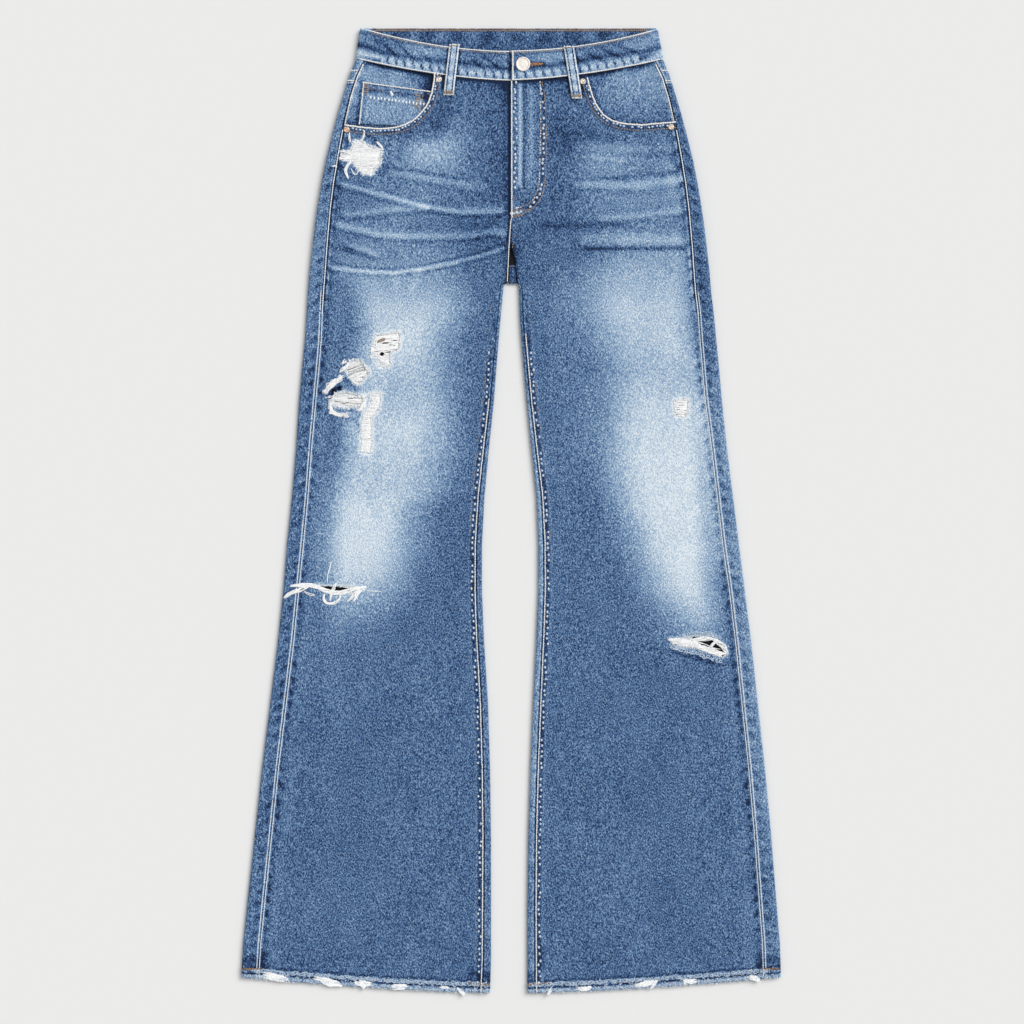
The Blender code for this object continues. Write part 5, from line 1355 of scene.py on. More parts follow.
def waistband():
    """The whole band as a closed strip with soft edges: its section runs down the outer face and up the inner one."""
    path = band_path()
    outer_shares = np.concatenate((
        np.linspace(0.0, 0.06, 4)[:-1], np.linspace(0.06, 0.94, 19), np.linspace(0.94, 1.0, 4)[1:]))
    inner_shares = np.linspace(1.0, 0.0, 11)
    shares = np.concatenate((outer_shares, inner_shares[1:]))
    faces = np.concatenate((np.ones(len(outer_shares)), -np.ones(len(inner_shares) - 1)))
    bm = bmesh.new()
    bmesh.ops.create_grid(bm, x_segments=len(path) - 1, y_segments=len(shares) - 1, size=0.5)
    grid = np.array([vert.co for vert in bm.verts])[:, :2] + 0.5
    i = np.round(grid[:, 0] * (len(path) - 1)).astype(int)
    j = np.round(grid[:, 1] * (len(shares) - 1)).astype(int)
    x, z, nx, nz, front = path[i].T
    share, face = shares[j], faces[j]
    run = np.concatenate(((0.0,), np.cumsum(np.hypot(*np.diff(path[:, :2], axis=0).T))))[i]
    at_x = widened(x, share)
    corner = np.where((np.arange(len(path)) > len(path) - 8)[i], np.maximum(0.0, END_CORNER - x), 0.0)
    top = lerp(BAND_TOP_Y, band_top(at_x), front) - END_DROP * (corner / END_CORNER) ** 2
    y = lerp(top, lerp(BAND_BOTTOM_Y, band_bottom(at_x), front), share)
    half = BAND_THICK / 2.0 * (1.0 - np.abs(2.0 * share - 1.0) ** 14) ** 0.5
    roping = np.sin(2.0 * math.pi * (run + 10.0 * share) / ROPING_PITCH + 0.8 * np.sin(run / 31.0))
    relief = face * 0.16 * roping * bump_at(share - 0.80, 0.13) + 0.05 * np.sin(run / 6.1)
    half = half + relief * (half > 0.6)
    points = np.stack((at_x + nx * half * face, y, z + nz * half * face), 1)
    inner_wear = 0.24 + bands(share, (0.12 * np.sin(run / 5.3), 0.25, 0.2)) + bands(share * BAND_TALL, (0.3, 0.6, 0.8))
    wear = np.where(face > 0.0, band_wear(at_x, y, share, run, roping), inner_wear)
    for vert, co in zip(bm.verts, points.tolist()):
        vert.co = co
    layer = bm.verts.layers.float.new("wear")
    for vert, value in zip(bm.verts, wear.tolist()):
        vert[layer] = value
    bmesh.ops.remove_doubles(bm, verts=bm.verts, dist=0.0005)
    bmesh.ops.holes_fill(bm, edges=[edge for edge in bm.edges if edge.is_boundary], sides=0)
    bmesh.ops.recalc_face_normals(bm, faces=bm.faces)
    return new_piece("waistband_strip", bm, DENIM)


band = stands_for(waistband(), "waistband", "waistband")


def band_line(x0, x1, share):
    """A line along the front of the band, this share of the way down it."""
    x = widened(np.linspace(x0, x1, 60), share)
    return np.stack((x, lerp(band_top(x), band_bottom(x), share)), 1)


def on_band(x, y):
    """The front band's face, for its stitches."""
    return band_front_z(x)


def on_back_band(x, y):
    """The inside of the back of the band."""
    return np.full(np.shape(x), BAND_BACK_Z + BAND_THICK / 2.0)


sewn("band_stitch_cream", "waistband", "cream", [
    stitch_row(band_line(-160.0, -0.5, 0.03), on_band, 2.8, 3.5, 0.75, stray=0.05),
    stitch_row(band_line(1.5, 158.0, 0.03), on_band, 2.8, 3.5, 0.75, stray=0.05),
    stitch_row(band_line(-166.0, -0.5, 0.975), on_band, 2.8, 3.5, 0.80, stray=0.05),
    stitch_row(band_line(2.0, 162.0, 0.975), on_band, 2.8, 3.5, 0.80, stray=0.05),
    stitch_row(((2.0, 521.5), (2.0, 491.5)), on_band, 2.6, 3.6, 0.95, stray=0.06),
])
THREADS["buttonhole"] = spun_thread("copper buttonhole thread", "#cf9a6c", "#8a6040")
sewn("buttonhole_stitch", "waistband", "buttonhole", [
    stitch_row(((22.0, 508.9), (36.0, 508.4)), on_band, 1.2, 2.2, 0.55, across=True),
    stitch_row(((22.0, 506.8), (34.0, 507.4)), on_band, 1.2, 2.0, 0.55, across=True),
])
sewn("band_stitch_copper", "waistband", "copper", [
    stitch_row(band_line(-158.0, -0.5, 0.09), on_band, radius=0.50, missing=0.1),
    stitch_row(band_line(1.5, 156.0, 0.09), on_band, radius=0.50, missing=0.1),
    stitch_row(((-157.0, 548.9), (154.0, 548.9)), on_back_band, 2.2, 2.4, 0.75),
    stitch_row(((-157.0, 546.9), (154.0, 546.9)), on_back_band, 2.2, 2.4, 0.75),
])

# ---- Belt loops
# Narrow folded strips of denim. In front each arches from the band's top edge down onto the cloth and is tacked at both
# ends; behind they lie flat under the band.
LOOP_CLOTH, LOOP_ARCH, LOOP_ARCH_POWER = 1.6, 1.3, 0.7
BACK_LOOPS = (("belt_loop_back_right", -104.0), ("belt_loop_back_centre", 0.0), ("belt_loop_back_left", 104.0))
for node, x0, y0, x1, y1 in FRONT_LOOPS:
    side = 1 if x0 > 0.0 else -1

    def loop_top(share, y, x0=x0, side=side):
        """The upper face along the middle of the loop."""
        rests = np.maximum(band_front_z(np.float64(x0)), front_z(np.abs(x0), y, side))
        return rests + SEAM_GAP + LOOP_ARCH * np.sin(math.pi * np.clip(share, 0.0, 1.0)) ** LOOP_ARCH_POWER + LOOP_CLOTH

    def place(u, v, x0=x0, y0=y0, x1=x1, y1=y1):
        share = 1.0 - v
        return lerp(x0, x1, share) + LOOP_WIDTH * (u - 0.5), lerp(y0, y1, share)

    def raise_up(x, y, u, v, loop_top=loop_top):
        share = 1.0 - v
        out = np.abs(u - 0.5) * 2.0
        z = loop_top(share, y) - 0.25 * out ** 2 - bands(out, (0.25, 0.62, 0.10), (0.4, 1.0, 0.06))
        wear = 0.78 + 0.10 * np.sin(y / 1.9) + bands(out, (0.30, 0.90, 0.13), (-0.95, 0.58, 0.11))
        return z, wear + bands(share, (0.2, 0.0, 0.03), (-0.15, 0.12, 0.03), (-0.15, 0.88, 0.03), (0.2, 1.0, 0.03))

    loop = cloth(node + "_strip", 22, 44, place, raise_up, LOOP_CLOTH * 0.8, face_up=True)
    stands_for(loop, node, node)

    def on_loop(x, y, y0=y0, y1=y1, loop_top=loop_top):
        return loop_top((y - y0) / (y1 - y0), y) - 0.05

    def loop_line(share, out, x0=x0, x1=x1, y0=y0, y1=y1):
        return lerp(x0, x1, share) + out * LOOP_WIDTH, lerp(y0, y1, share)

    tacks = [
        stitch_row((loop_line(share, -0.42), loop_line(share, 0.42)), on_loop, 0.75, reach, 0.4, across=True)
        for share, reach in ((0.035, 2.0), (0.945, 4.4))
    ]
    sewn(node + "_tacks", node, "copper", tacks)
    sewn(node + "_rows", node, "white", [
        stitch_row((loop_line(0.03, out), loop_line(0.97, out)), on_loop, 3.1, 2.4, 0.36, missing=0.2)
        for out in (-0.34, 0.34)
    ] + [stitch_row((loop_line(0.985, -0.44), loop_line(0.985, 0.44)), on_loop, 1.1, 1.4, 0.4, across=True)])

# ---- Button and rivets
# The button is a plain die-struck disc of nickelled brass with a turned rim, standing on its shank. The rivets are
# small copper caps at the corners of the pocket mouths.
BUTTON_AT = (13.7, 507.9)
BUTTON_PROFILE = (
    (0.0, 6.95), (2.4, 6.95), (2.4, 9.3), (6.9, 9.4), (7.6, 9.6), (8.05, 9.9), (8.2, 10.25), (8.15, 10.6),
    (7.9, 10.95), (7.5, 11.1), (7.0, 11.12), (6.6, 10.98), (6.3, 10.75), (5.6, 10.72), (4.4, 10.8), (3.0, 10.9),
    (1.6, 10.86), (0.7, 10.78), (0.0, 10.76),
)
RIVETS = (
    ("rivet_right_upper", -82.1, 490.9, "#f6efe3"), ("rivet_right_side", -187.2, 433.6, "#f2d6b8"),
    ("rivet_left_upper", 81.6, 488.6, "#f6efe3"), ("rivet_left_side", 182.4, 436.6, "#f3e2cd"),
)
RIVET_RISE = 0.35
RIVET_PROFILE = (
    (0.0, 0.0), (3.2, 0.0), (3.4, 0.25), (3.35, 0.6), (3.05, 0.95), (2.55, 1.12), (2.0, 1.08), (1.7, 0.85),
    (1.45, 0.72), (1.1, 0.95), (0.6, 1.1), (0.0, 1.12),
)


def worn_metal(name, code, dark_code, roughness):
    """Plated metal that has been washed and rubbed: dull, mottled, and brighter on what stands up."""
    return two_toned(name, (dark_code, code), (0.35, 0.6), 700.0, 4.0, 0.25, 0.0002, {
        "Metallic": 1.0, "Roughness": roughness})


def turned(name, profile, at, steps, material):
    """A shape turned about an upright axis from radii and heights."""
    bm = bmesh.new()
    verts = [bm.verts.new((radius, 0.0, height)) for radius, height in profile]
    edges = [bm.edges.new(pair) for pair in zip(verts, verts[1:])]
    bmesh.ops.spin(
        bm, geom=verts + edges, cent=(0.0, 0.0, 0.0), axis=(0.0, 0.0, 1.0), angle=2.0 * math.pi, steps=steps,
        use_merge=True,
    )
    bmesh.ops.remove_doubles(bm, verts=bm.verts, dist=0.001)
    bmesh.ops.translate(bm, verts=bm.verts, vec=at)
    bmesh.ops.recalc_face_normals(bm, faces=bm.faces)
    return new_piece(name, bm, material)


brass = worn_metal("nickelled brass", "#fbf7f2", "#e4ded6", 0.66)
stands_for(turned("button", BUTTON_PROFILE, (*BUTTON_AT, 0.0), 48, brass), "waist_button", "waist_button")
for node, x, y, code in RIVETS:
    z = float(front_z(abs(x), y, 1 if x > 0.0 else -1)) + RIVET_RISE
    copper = worn_metal("worn copper " + node, code, "#c39a75", 0.55)
    stands_for(turned(node + "_cap", RIVET_PROFILE, (x, y, z), 24, copper), node, node)

# ---- Worn patches and torn knees
# Where the blue warp has worn away, the white weft threads still cross the holes, slack and raised. Their ends and the
# edges of the holes are frayed. At the right knee thick twists of thread lie over a narrow slit.
THREADS["weft"] = spun_thread("bare white weft", "#ffffff", "#e8e9ea")
THREADS["fray"] = spun_thread("frayed pale warp", "#d0deec", "#8caac9")
WEFT_REACH = 1.8  # how far a thread runs on under the cloth beside the hole
# Threads of each hole: the node, the hole's side and number, how far apart, how steep, how thick, how many are lost
# and how raised.
WEFTS = (
    ("weft_hip_right", -1, 0, 0.62, -0.05, 0.52, 0.0, 2.0),
    ("weft_thigh_right_1", -1, 1, 0.64, 0.1, 0.5, 0.03, 1.7),
    ("weft_thigh_right_2", -1, 2, 0.74, 0.36, 0.44, 0.06, 1.2),
    ("weft_thigh_right_3", -1, 3, 0.74, -0.1, 0.44, 0.08, 1.2),
    ("weft_thigh_right_4", -1, 4, 0.6, 0.04, 0.52, 0.0, 2.0),
    ("weft_thigh_left", 1, 0, 0.62, 0.02, 0.5, 0.03, 1.8),
)
# Where the threads have parted and the inside, painted dark as shade, shows: the middle of the gap and its half width
# and height.
PARTED = (
    (-147.1, 178.4, 2.8, 2.4), (-144.0, 191.0, 5.0, 0.9), (-136.0, 188.5, 4.0, 0.8), (-133.0, 194.0, 4.0, 0.7),
    (-139.0, 180.6, 4.0, 0.8), (-168.0, 152.0, 6.0, 0.7), (-174.0, 147.0, 4.0, 0.6), (-182.0, 128.0, 6.0, 0.7),
    (-190.0, 122.4, 5.0, 0.6), (194.0, 120.0, 3.4, 0.5), (190.0, 115.0, 3.0, 0.5), (198.0, 113.6, 2.2, 0.5),
)
PARTED_REACH = 2.5  # threads are pushed aside as far from a gap as this many times its half height
# Twists of loose thread: how many threads, how far the twist spreads, how thick, and where it runs.
TWISTS = {
    "knee_threads_right": (
        (12, 2.0, 0.8, ((-251.9, -86.1), (-240.0, -85.2), (-226.9, -84.9), (-212.0, -91.8), (-194.9, -95.2),
                        (-181.3, -89.5), (-165.3, -87.2))),
        (8, 1.7, 0.75, ((-258.8, -99.7), (-252.0, -94.0), (-241.0, -91.0), (-226.9, -84.9))),
        (5, 1.2, 0.75, ((-199.5, -82.6), (-204.0, -92.0), (-206.3, -103.2))),
        (5, 1.2, 0.75, ((-172.1, -88.3), (-179.0, -96.0), (-187.0, -104.3))),
        (4, 1.0, 0.75, ((-169.9, -90.6), (-176.0, -96.0), (-180.1, -104.3))),
        (1, 0.0, 0.5, ((-165.3, -90.6), (-156.0, -92.5), (-147.1, -91.8))),
        (2, 0.3, 0.6, ((-205.2, -58.7), (-206.5, -66.0), (-209.8, -74.0), (-209.4, -82.5))),
        (5, 1.1, 0.75, ((-212.6, -95.2), (-214.4, -102.0), (-208.0, -106.9), (-199.5, -105.4), (-193.8, -98.6),
                        (-196.1, -92.9))),
        (2, 0.8, 0.45, ((-236.0, -92.0), (-230.0, -95.5), (-223.6, -96.3))),
    ),
    "weft_knee_left": (
        (6, 1.3, 0.55, ((178.5, -147.4), (194.3, -147.2), (211.1, -145.6), (226.0, -145.0), (236.5, -149.0))),
        (6, 1.3, 0.55, ((184.0, -151.0), (198.5, -153.4), (212.0, -154.6), (226.0, -159.6), (238.0, -164.0),
                        (246.0, -162.5))),
        (9, 2.6, 0.6, ((230.5, -147.0), (240.5, -153.0), (246.0, -162.5))),
        (8, 1.9, 0.6, ((212.0, -156.6), (226.0, -160.0), (240.0, -166.0))),
        (9, 2.2, 0.62, ((213.0, -153.8), (228.0, -159.4), (243.0, -163.4))),
        (5, 1.0, 0.6, ((227.0, -155.6), (231.0, -151.5), (235.0, -147.0))),
        (7, 2.2, 0.6, ((190.0, -148.5), (204.0, -151.0), (216.0, -153.6))),
        (5, 1.2, 0.5, ((205.0, -147.0), (216.0, -147.6), (229.0, -147.0))),
        (6, 1.8, 0.55, ((183.0, -149.0), (198.0, -150.4), (213.0, -150.6))),
        (2, 0.7, 0.42, ((206.0, -148.0), (217.0, -151.5), (229.0, -156.5), (239.0, -158.0))),
    ),
    "weft_hip_right": (
        (4, 0.9, 0.55, ((-183.8, 431.1), (-184.6, 426.0), (-183.0, 419.0))),
        (4, 0.8, 0.55, ((-167.0, 432.9), (-167.4, 427.0), (-170.2, 419.8))),
        (5, 1.0, 0.55, ((-152.9, 420.1), (-149.0, 416.0), (-146.1, 410.4))),
        (5, 1.1, 0.6, ((-182.2, 397.6), (-188.6, 389.7), (-188.0, 384.0), (-185.4, 377.6))),
        (2, 0.5, 0.55, ((-182.4, 389.7), (-179.0, 383.0), (-176.7, 381.7), (-173.3, 386.5))),
        (3, 0.5, 0.5, ((-204.5, 392.0), (-201.0, 393.2), (-198.0, 391.3))),
    ),
    "weft_thigh_right_1": (
        (6, 1.6, 0.5, ((-150.0, 172.0), (-145.0, 168.0), (-139.5, 167.0))),
    ),
}
WORN_IN_PLACE = (RIPS[-1][1], RIPS[-1][4], RIPS[1][0])
THREAD_SIDES, LOOSE_POINTS = 4, 6  # of every thread, and of each short loose one
FRAYED_MOST, FRAY_LONGEST = (RIPS[-1][0], RIPS[-1][2], RIPS[-1][3]), {True: 4.4, False: 2.0}


def strands(name, slot, thread, paths, radii, nodes=()):
    """Round threads along paths of points, joined as one mesh, thinner towards their ends."""
    verts, faces = [], []
    first = 0
    around = np.linspace(0.0, 2.0 * math.pi, THREAD_SIDES, endpoint=False)
    for path, radius in zip(paths, np.broadcast_to(radii, len(paths))):
        ways = np.gradient(path, axis=0)
        ways = ways / np.linalg.norm(ways, axis=1)[:, None]
        beside = np.column_stack((left_of(ways), np.zeros(len(path))))
        beside = beside / np.maximum(np.linalg.norm(beside, axis=1), 1e-6)[:, None]
        above = np.cross(ways, beside)
        taper = radius * (1.0 - 0.45 * np.abs(np.linspace(-1.0, 1.0, len(path))) ** 6)
        ring = np.cos(around)[None, :, None] * beside[:, None, :] + np.sin(around)[None, :, None] * above[:, None, :]
        verts.append((path[:, None, :] + ring * taper[:, None, None]).reshape(-1, 3))
        for i in range(len(path) - 1):
            low, high = first + i * THREAD_SIDES, first + (i + 1) * THREAD_SIDES
            faces += [(low + j, low + (j + 1) % THREAD_SIDES, high + (j + 1) % THREAD_SIDES, high + j)
                      for j in range(THREAD_SIDES)]
        last = first + (len(path) - 1) * THREAD_SIDES
        faces += [tuple(range(first + THREAD_SIDES - 1, first - 1, -1)), tuple(range(last, last + THREAD_SIDES))]
        first = last + THREAD_SIDES
    return stands_for(points_piece(name, np.concatenate(verts), faces, THREADS[thread]), slot, *nodes)


def weft_paths(outline, side, pitch, slope, missing, raised):
    """Threads across a hole, each from edge to edge with its own sag."""
    corners = np.array(outline)
    middle = corners[:, 0].mean()
    paths = []
    low, high = corners[:, 1].min() - 6.0, corners[:, 1].max() + 6.0
    for y0 in np.arange(high, low, -pitch):
        x = np.arange(corners[:, 0].min(), corners[:, 0].max(), 0.5)
        y = y0 + slope * (x - middle)
        hit = x[inside(x, y, outline)]
        if len(hit) < 4 or draw.random() < missing:
            continue
        at = np.linspace(hit[0] - WEFT_REACH, hit[-1] + WEFT_REACH, 21)
        share = np.linspace(0.0, 1.0, 21)
        wave = draw.normal(0.0, 0.16) * np.sin(math.pi * share) + 0.12 * np.sin(
            2.0 * math.pi * share * draw.uniform(0.8, 2.4) + draw.uniform(0.0, 6.3))
        y = y0 + slope * (at - middle) + wave
        for gap_x, gap_y, wide, tall in PARTED:
            push = tall * np.sqrt(np.maximum(0.0, 1.0 - ((at - gap_x) / wide) ** 2))
            off, reach = y - gap_y, PARTED_REACH * tall
            pushed = gap_y + np.sign(off) * (push + np.abs(off) * (1.0 - push / reach))
            y = np.where(np.abs(off) < reach, pushed, y)
        z = front_z(side * at, y, side) - CLOTH - 0.45 + raised * draw.uniform(0.75, 1.1) * np.sin(
            math.pi * share) ** 0.45
        paths.append(np.stack((at, y, z), 1))
    return paths


def wandering(starts, angles, lengths, bends, rise):
    """Loose threads from their starts: each runs off at its angle and bends and wavers as it goes."""
    share = np.linspace(0.0, 1.0, LOOSE_POINTS)
    turn = angles[:, None] + bends[:, None] * share + 0.7 * np.sin(5.0 * share + 3.1 * starts[:, :1])
    step = lengths[:, None] / (LOOSE_POINTS - 1)
    dx, dy = np.cos(turn) * step, np.sin(turn) * step
    x = starts[:, :1] + np.cumsum(dx, axis=1) - dx[:, :1]
    y = starts[:, 1:2] + np.cumsum(dy, axis=1) - dy[:, :1]
    z = starts[:, 2:3] + rise[:, None] * np.sin(0.8 * math.pi * share)
    return list(np.stack((x, y, z), 2))


def edge_frays(outline, side, pitch, longest, inward):
    """Short threads along the edge of a hole, pointing into it or out over the cloth."""
    closed = tuple(outline) + (outline[0],)
    places, way, _ = resampled(closed, pitch)
    middle = np.array(outline).mean(0)
    out = left_of(way)
    out = out * np.where(((places - middle) * out).sum(1) > 0.0, 1.0, -1.0)[:, None]
    if inward:
        out = -out
    places = places + draw.normal(0.0, 0.3, places.shape) - out * 0.6
    angles = np.arctan2(out[:, 1], out[:, 0]) + draw.normal(0.0, 0.6, len(places))
    lengths = draw.uniform(0.35, 1.0, len(places)) * longest
    z = front_face(places[:, 0], places[:, 1], side) + (0.05 if inward else 0.22)
    starts = np.concatenate((places, z[:, None]), 1)
    return wandering(starts, angles, lengths, draw.normal(0.0, 1.3, len(places)), draw.uniform(-0.2, 0.5, len(places)))


def twist_paths(count, spread, points):
    """Threads that wind round one another along a line, over the cloth."""
    side = 1 if points[0][0] > 0.0 else -1
    places, way, at = resampled(rounded(points), 1.5)
    out = left_of(way)
    narrow = np.sin(math.pi * np.clip(np.linspace(0.03, 0.97, len(at)), 0.0, 1.0)) ** 0.5
    found = []
    for number in range(count):
        phase = 2.0 * math.pi * number / max(1, count) + draw.uniform(0.0, 0.8)
        turn = at * draw.uniform(0.10, 0.24) + phase
        aside = spread * narrow * np.sin(turn) + draw.normal(0.0, 0.2)
        x, y = (places + out * aside[:, None]).T
        z = front_z(side * x, y, side) + 0.25 + 0.5 * (1.0 + np.cos(turn)) * min(1.0, spread / 1.5) * narrow
        found.append(np.stack((x, y, z), 1))
    return found


def tuft_paths(count, spread, points):
    """Threads that lie side by side along a line, widest in its middle and ragged at its ends."""
    side = 1 if points[0][0] > 0.0 else -1
    found = []
    for place in np.linspace(-1.0, 1.0, count):
        start, end = draw.uniform(0.0, 0.38), draw.uniform(0.62, 1.0)
        places, way, at = resampled(rounded(points), 2.2)
        share = at / at[-1]
        kept = (share >= start) & (share <= end)
        wide = spread * np.sin(math.pi * np.clip(share, 0.06, 0.94)) ** 0.45
        aside = wide * place + 0.35 * np.sin(at * draw.uniform(0.4, 0.9) + draw.uniform(0.0, 6.3)) * min(1.0, spread)
        x, y = (places + left_of(way) * aside[:, None])[kept].T
        if len(x) > 2:
            z = front_z(side * x, y, side) + 0.35 + draw.uniform(0.0, 0.5)
            found.append(np.stack((x, y, z), 1))
    return found


def curls(line, side, pitch, size, stray=0.5):
    """Small loops of thread along a line, where the combed-out edge has curled up."""
    places, _, _ = resampled(line, pitch)
    places = places + draw.normal(0.0, stray, places.shape)
    found = []
    for x0, y0 in places:
        turn = np.linspace(0.0, draw.uniform(4.2, 6.6), 9) + draw.uniform(0.0, 6.3)
        radius = size * draw.uniform(0.7, 1.25)
        x, y = x0 + radius * np.cos(turn), y0 + 0.8 * radius * np.sin(turn)
        z = front_z(side * x, y, side) + 0.45 + 0.25 * np.sin(turn / 2.0)
        found.append(np.stack((x, y, z), 1))
    return found


# Ragged bunches of bared weft beside the holes: how many threads, how far they spread, how thick, and where.
BUNCHES = {
    "weft_thigh_right_2": (
        (6, 1.5, 0.6, ((-187.1, 173.7), (-194.3, 164.7))),
        (6, 1.5, 0.6, ((-184.0, 168.5), (-197.2, 155.4))),
        (2, 0.5, 0.6, ((-190.5, 157.6), (-194.0, 151.0), (-195.4, 144.0))),
        (9, 2.5, 0.6, ((-190.4, 151.6), (-203.6, 145.2), (-213.5, 132.6))),
    ),
    "weft_thigh_right_3": (
        (7, 1.7, 0.55, ((-201.0, 129.0), (-207.0, 120.0), (-204.0, 111.5), (-195.0, 108.6), (-185.0, 110.6))),
        (7, 1.9, 0.62, ((-169.6, 132.5), (-167.0, 123.0), (-171.0, 116.0), (-180.0, 112.6))),
    ),
    "weft_thigh_right_1": (
        (5, 1.6, 0.55, ((-156.5, 190.0), (-158.5, 176.0))),
    ),
    "weft_hip_right": (
        (7, 2.2, 0.6, ((-195.0, 409.8), (-180.0, 406.0))),
        (6, 1.4, 0.6, ((-198.0, 399.0), (-180.0, 401.6))),
    ),
}
# Where the bared weft has curled up along a rim: the pitch and size of the loops, how thick, and where.
CURLED = {
    "weft_thigh_right_3": (
        (1.0, 1.5, 0.5, ((-200.0, 130.0), (-206.6, 121.0), (-205.4, 112.6), (-196.0, 108.0), (-186.0, 109.0))),
        (1.1, 1.2, 0.46, ((-170.0, 133.0), (-167.0, 124.0), (-170.0, 116.0))),
    ),
    "weft_thigh_right_2": (
        (1.0, 1.5, 0.5, ((-191.6, 152.6), (-204.6, 146.4), (-214.6, 133.4))),
        (1.6, 1.1, 0.44, ((-207.5, 131.5), (-212.5, 129.0))),
    ),
    "weft_thigh_right_1": (
        (1.2, 1.2, 0.46, ((-157.0, 191.0), (-159.0, 176.0))),
    ),
    "weft_thigh_right_4": (
        (1.6, 1.0, 0.4, ((-152.0, 124.0), (-159.5, 128.0))),
    ),
}
weft_found = {}
for node, side, hole, pitch, slope, radius, missing, raised in WEFTS:
    paths = weft_paths(RIPS[side][hole], side, pitch, slope, missing, raised)
    weft_found.setdefault(node, []).extend((path, radius * draw.uniform(0.8, 1.15)) for path in paths)
for table, paths_along, thinnest, thickest in ((TWISTS, twist_paths, 0.8, 1.1), (BUNCHES, tuft_paths, 0.85, 1.15)):
    for node, rows in table.items():
        for count, spread, radius, points in rows:
            weft_found.setdefault(node, []).extend(
                (path, radius * draw.uniform(thinnest, thickest)) for path in paths_along(count, spread, points))
for node, rows in CURLED.items():
    for pitch, size, radius, line in rows:
        weft_found[node].extend((path, radius) for path in curls(line, -1, pitch, size, 1.1))
for node, found in weft_found.items():
    strands(node + "_strands", node, "weft", [path for path, _ in found], [radius for _, radius in found], (node,))
for side_name, side in SIDES:
    pale, white = [], []
    for outline in RIPS[side]:
        longest = FRAY_LONGEST[outline in FRAYED_MOST]
        worn_in_place = outline in WORN_IN_PLACE
        pale += edge_frays(outline, side, 2.4 if worn_in_place else 1.2, 3.6, False)
        pale += edge_frays(outline, side, 3.4 if worn_in_place else 1.7, 2.6, True)
        pitch = 0.9 if worn_in_place else 1.4
        white += edge_frays(outline, side, pitch, longest, False) + edge_frays(outline, side, pitch, longest, True)
    slot = "front_panel_" + side_name
    strands("hole_fray_pale_" + side_name, slot, "fray", pale, draw.uniform(0.22, 0.42, len(pale)))
    strands("hole_fray_white_" + side_name, slot, "weft", white, draw.uniform(0.32, 0.56, len(white)))

copper_ends = twist_paths(5, 1.3, ((-152.0, 191.6), (-147.0, 194.4), (-143.2, 195.6)))
strands("copper_ends", "weft_thigh_right_1", "copper", copper_ends, 0.42)
KNEE_RIMS = (
    ((182.0, -155.5), (198.0, -160.5), (212.0, -163.0), (226.0, -168.0), (239.0, -171.0)),
    ((194.0, -143.5), (212.0, -140.0), (228.0, -140.4), (239.0, -145.6)),
)
knee_curls = [path for line in KNEE_RIMS for path in curls(line, 1, 2.1, 2.1, 0.6)]
strands("knee_curls", "front_panel_left", "fray", knee_curls, 0.56)

# ---- Frayed hems
# The hems were cut off and washed. Loose white weft threads hang in tufts below the edge, and the lowest few
# millimetres are combed out into pale fuzz.
# How many threads, how far they spread, how thick, and where the tuft runs.
TUFTS = {
    -1: (
        (15, 3.5, 0.78, ((-289.0, -527.5), (-272.0, -531.4), (-251.0, -535.6))),
        (6, 1.2, 0.65, ((-296.0, -533.0), (-300.0, -539.5))),
        (15, 3.7, 0.78, ((-227.0, -532.0), (-209.0, -537.6), (-190.0, -541.6))),
        (13, 3.2, 0.78, ((-180.0, -535.0), (-169.0, -540.0), (-157.0, -539.0))),
        (6, 1.3, 0.65, ((-170.0, -538.0), (-167.0, -548.5))),
        (12, 2.8, 0.78, ((-140.0, -542.6), (-128.0, -543.4), (-116.0, -541.4))),
        (5, 1.1, 0.65, ((-136.0, -541.5), (-140.0, -547.6))),
        (7, 1.5, 0.68, ((-84.0, -542.0), (-68.0, -545.0))),
        (9, 1.7, 0.68, ((-63.0, -542.0), (-56.5, -548.0), (-51.0, -554.6))),
        (5, 1.0, 0.62, ((-60.0, -544.0), (-65.0, -549.6))),
    ),
    1: (
        (8, 1.5, 0.68, ((47.5, -541.5), (44.0, -548.0), (39.5, -555.0))),
        (11, 2.1, 0.76, ((72.5, -543.5), (84.0, -545.5), (94.0, -543.0))),
        (5, 1.0, 0.62, ((66.0, -541.0), (68.0, -547.0))),
        (13, 2.6, 0.78, ((137.5, -542.5), (153.0, -539.6), (170.0, -535.0))),
        (6, 1.3, 0.66, ((168.0, -535.0), (162.0, -541.0), (157.0, -547.5))),
        (11, 2.3, 0.76, ((193.5, -534.5), (204.0, -537.0), (214.0, -536.0))),
        (5, 1.1, 0.64, ((200.0, -536.0), (196.0, -543.0))),
        (11, 2.3, 0.76, ((266.5, -530.5), (276.0, -532.0), (287.0, -538.0))),
    ),
}
FRINGE_COUNT, TUFT_RISE = 420, 0.55
FUZZ_TALL, FUZZ_COUNT = 12.0, 640


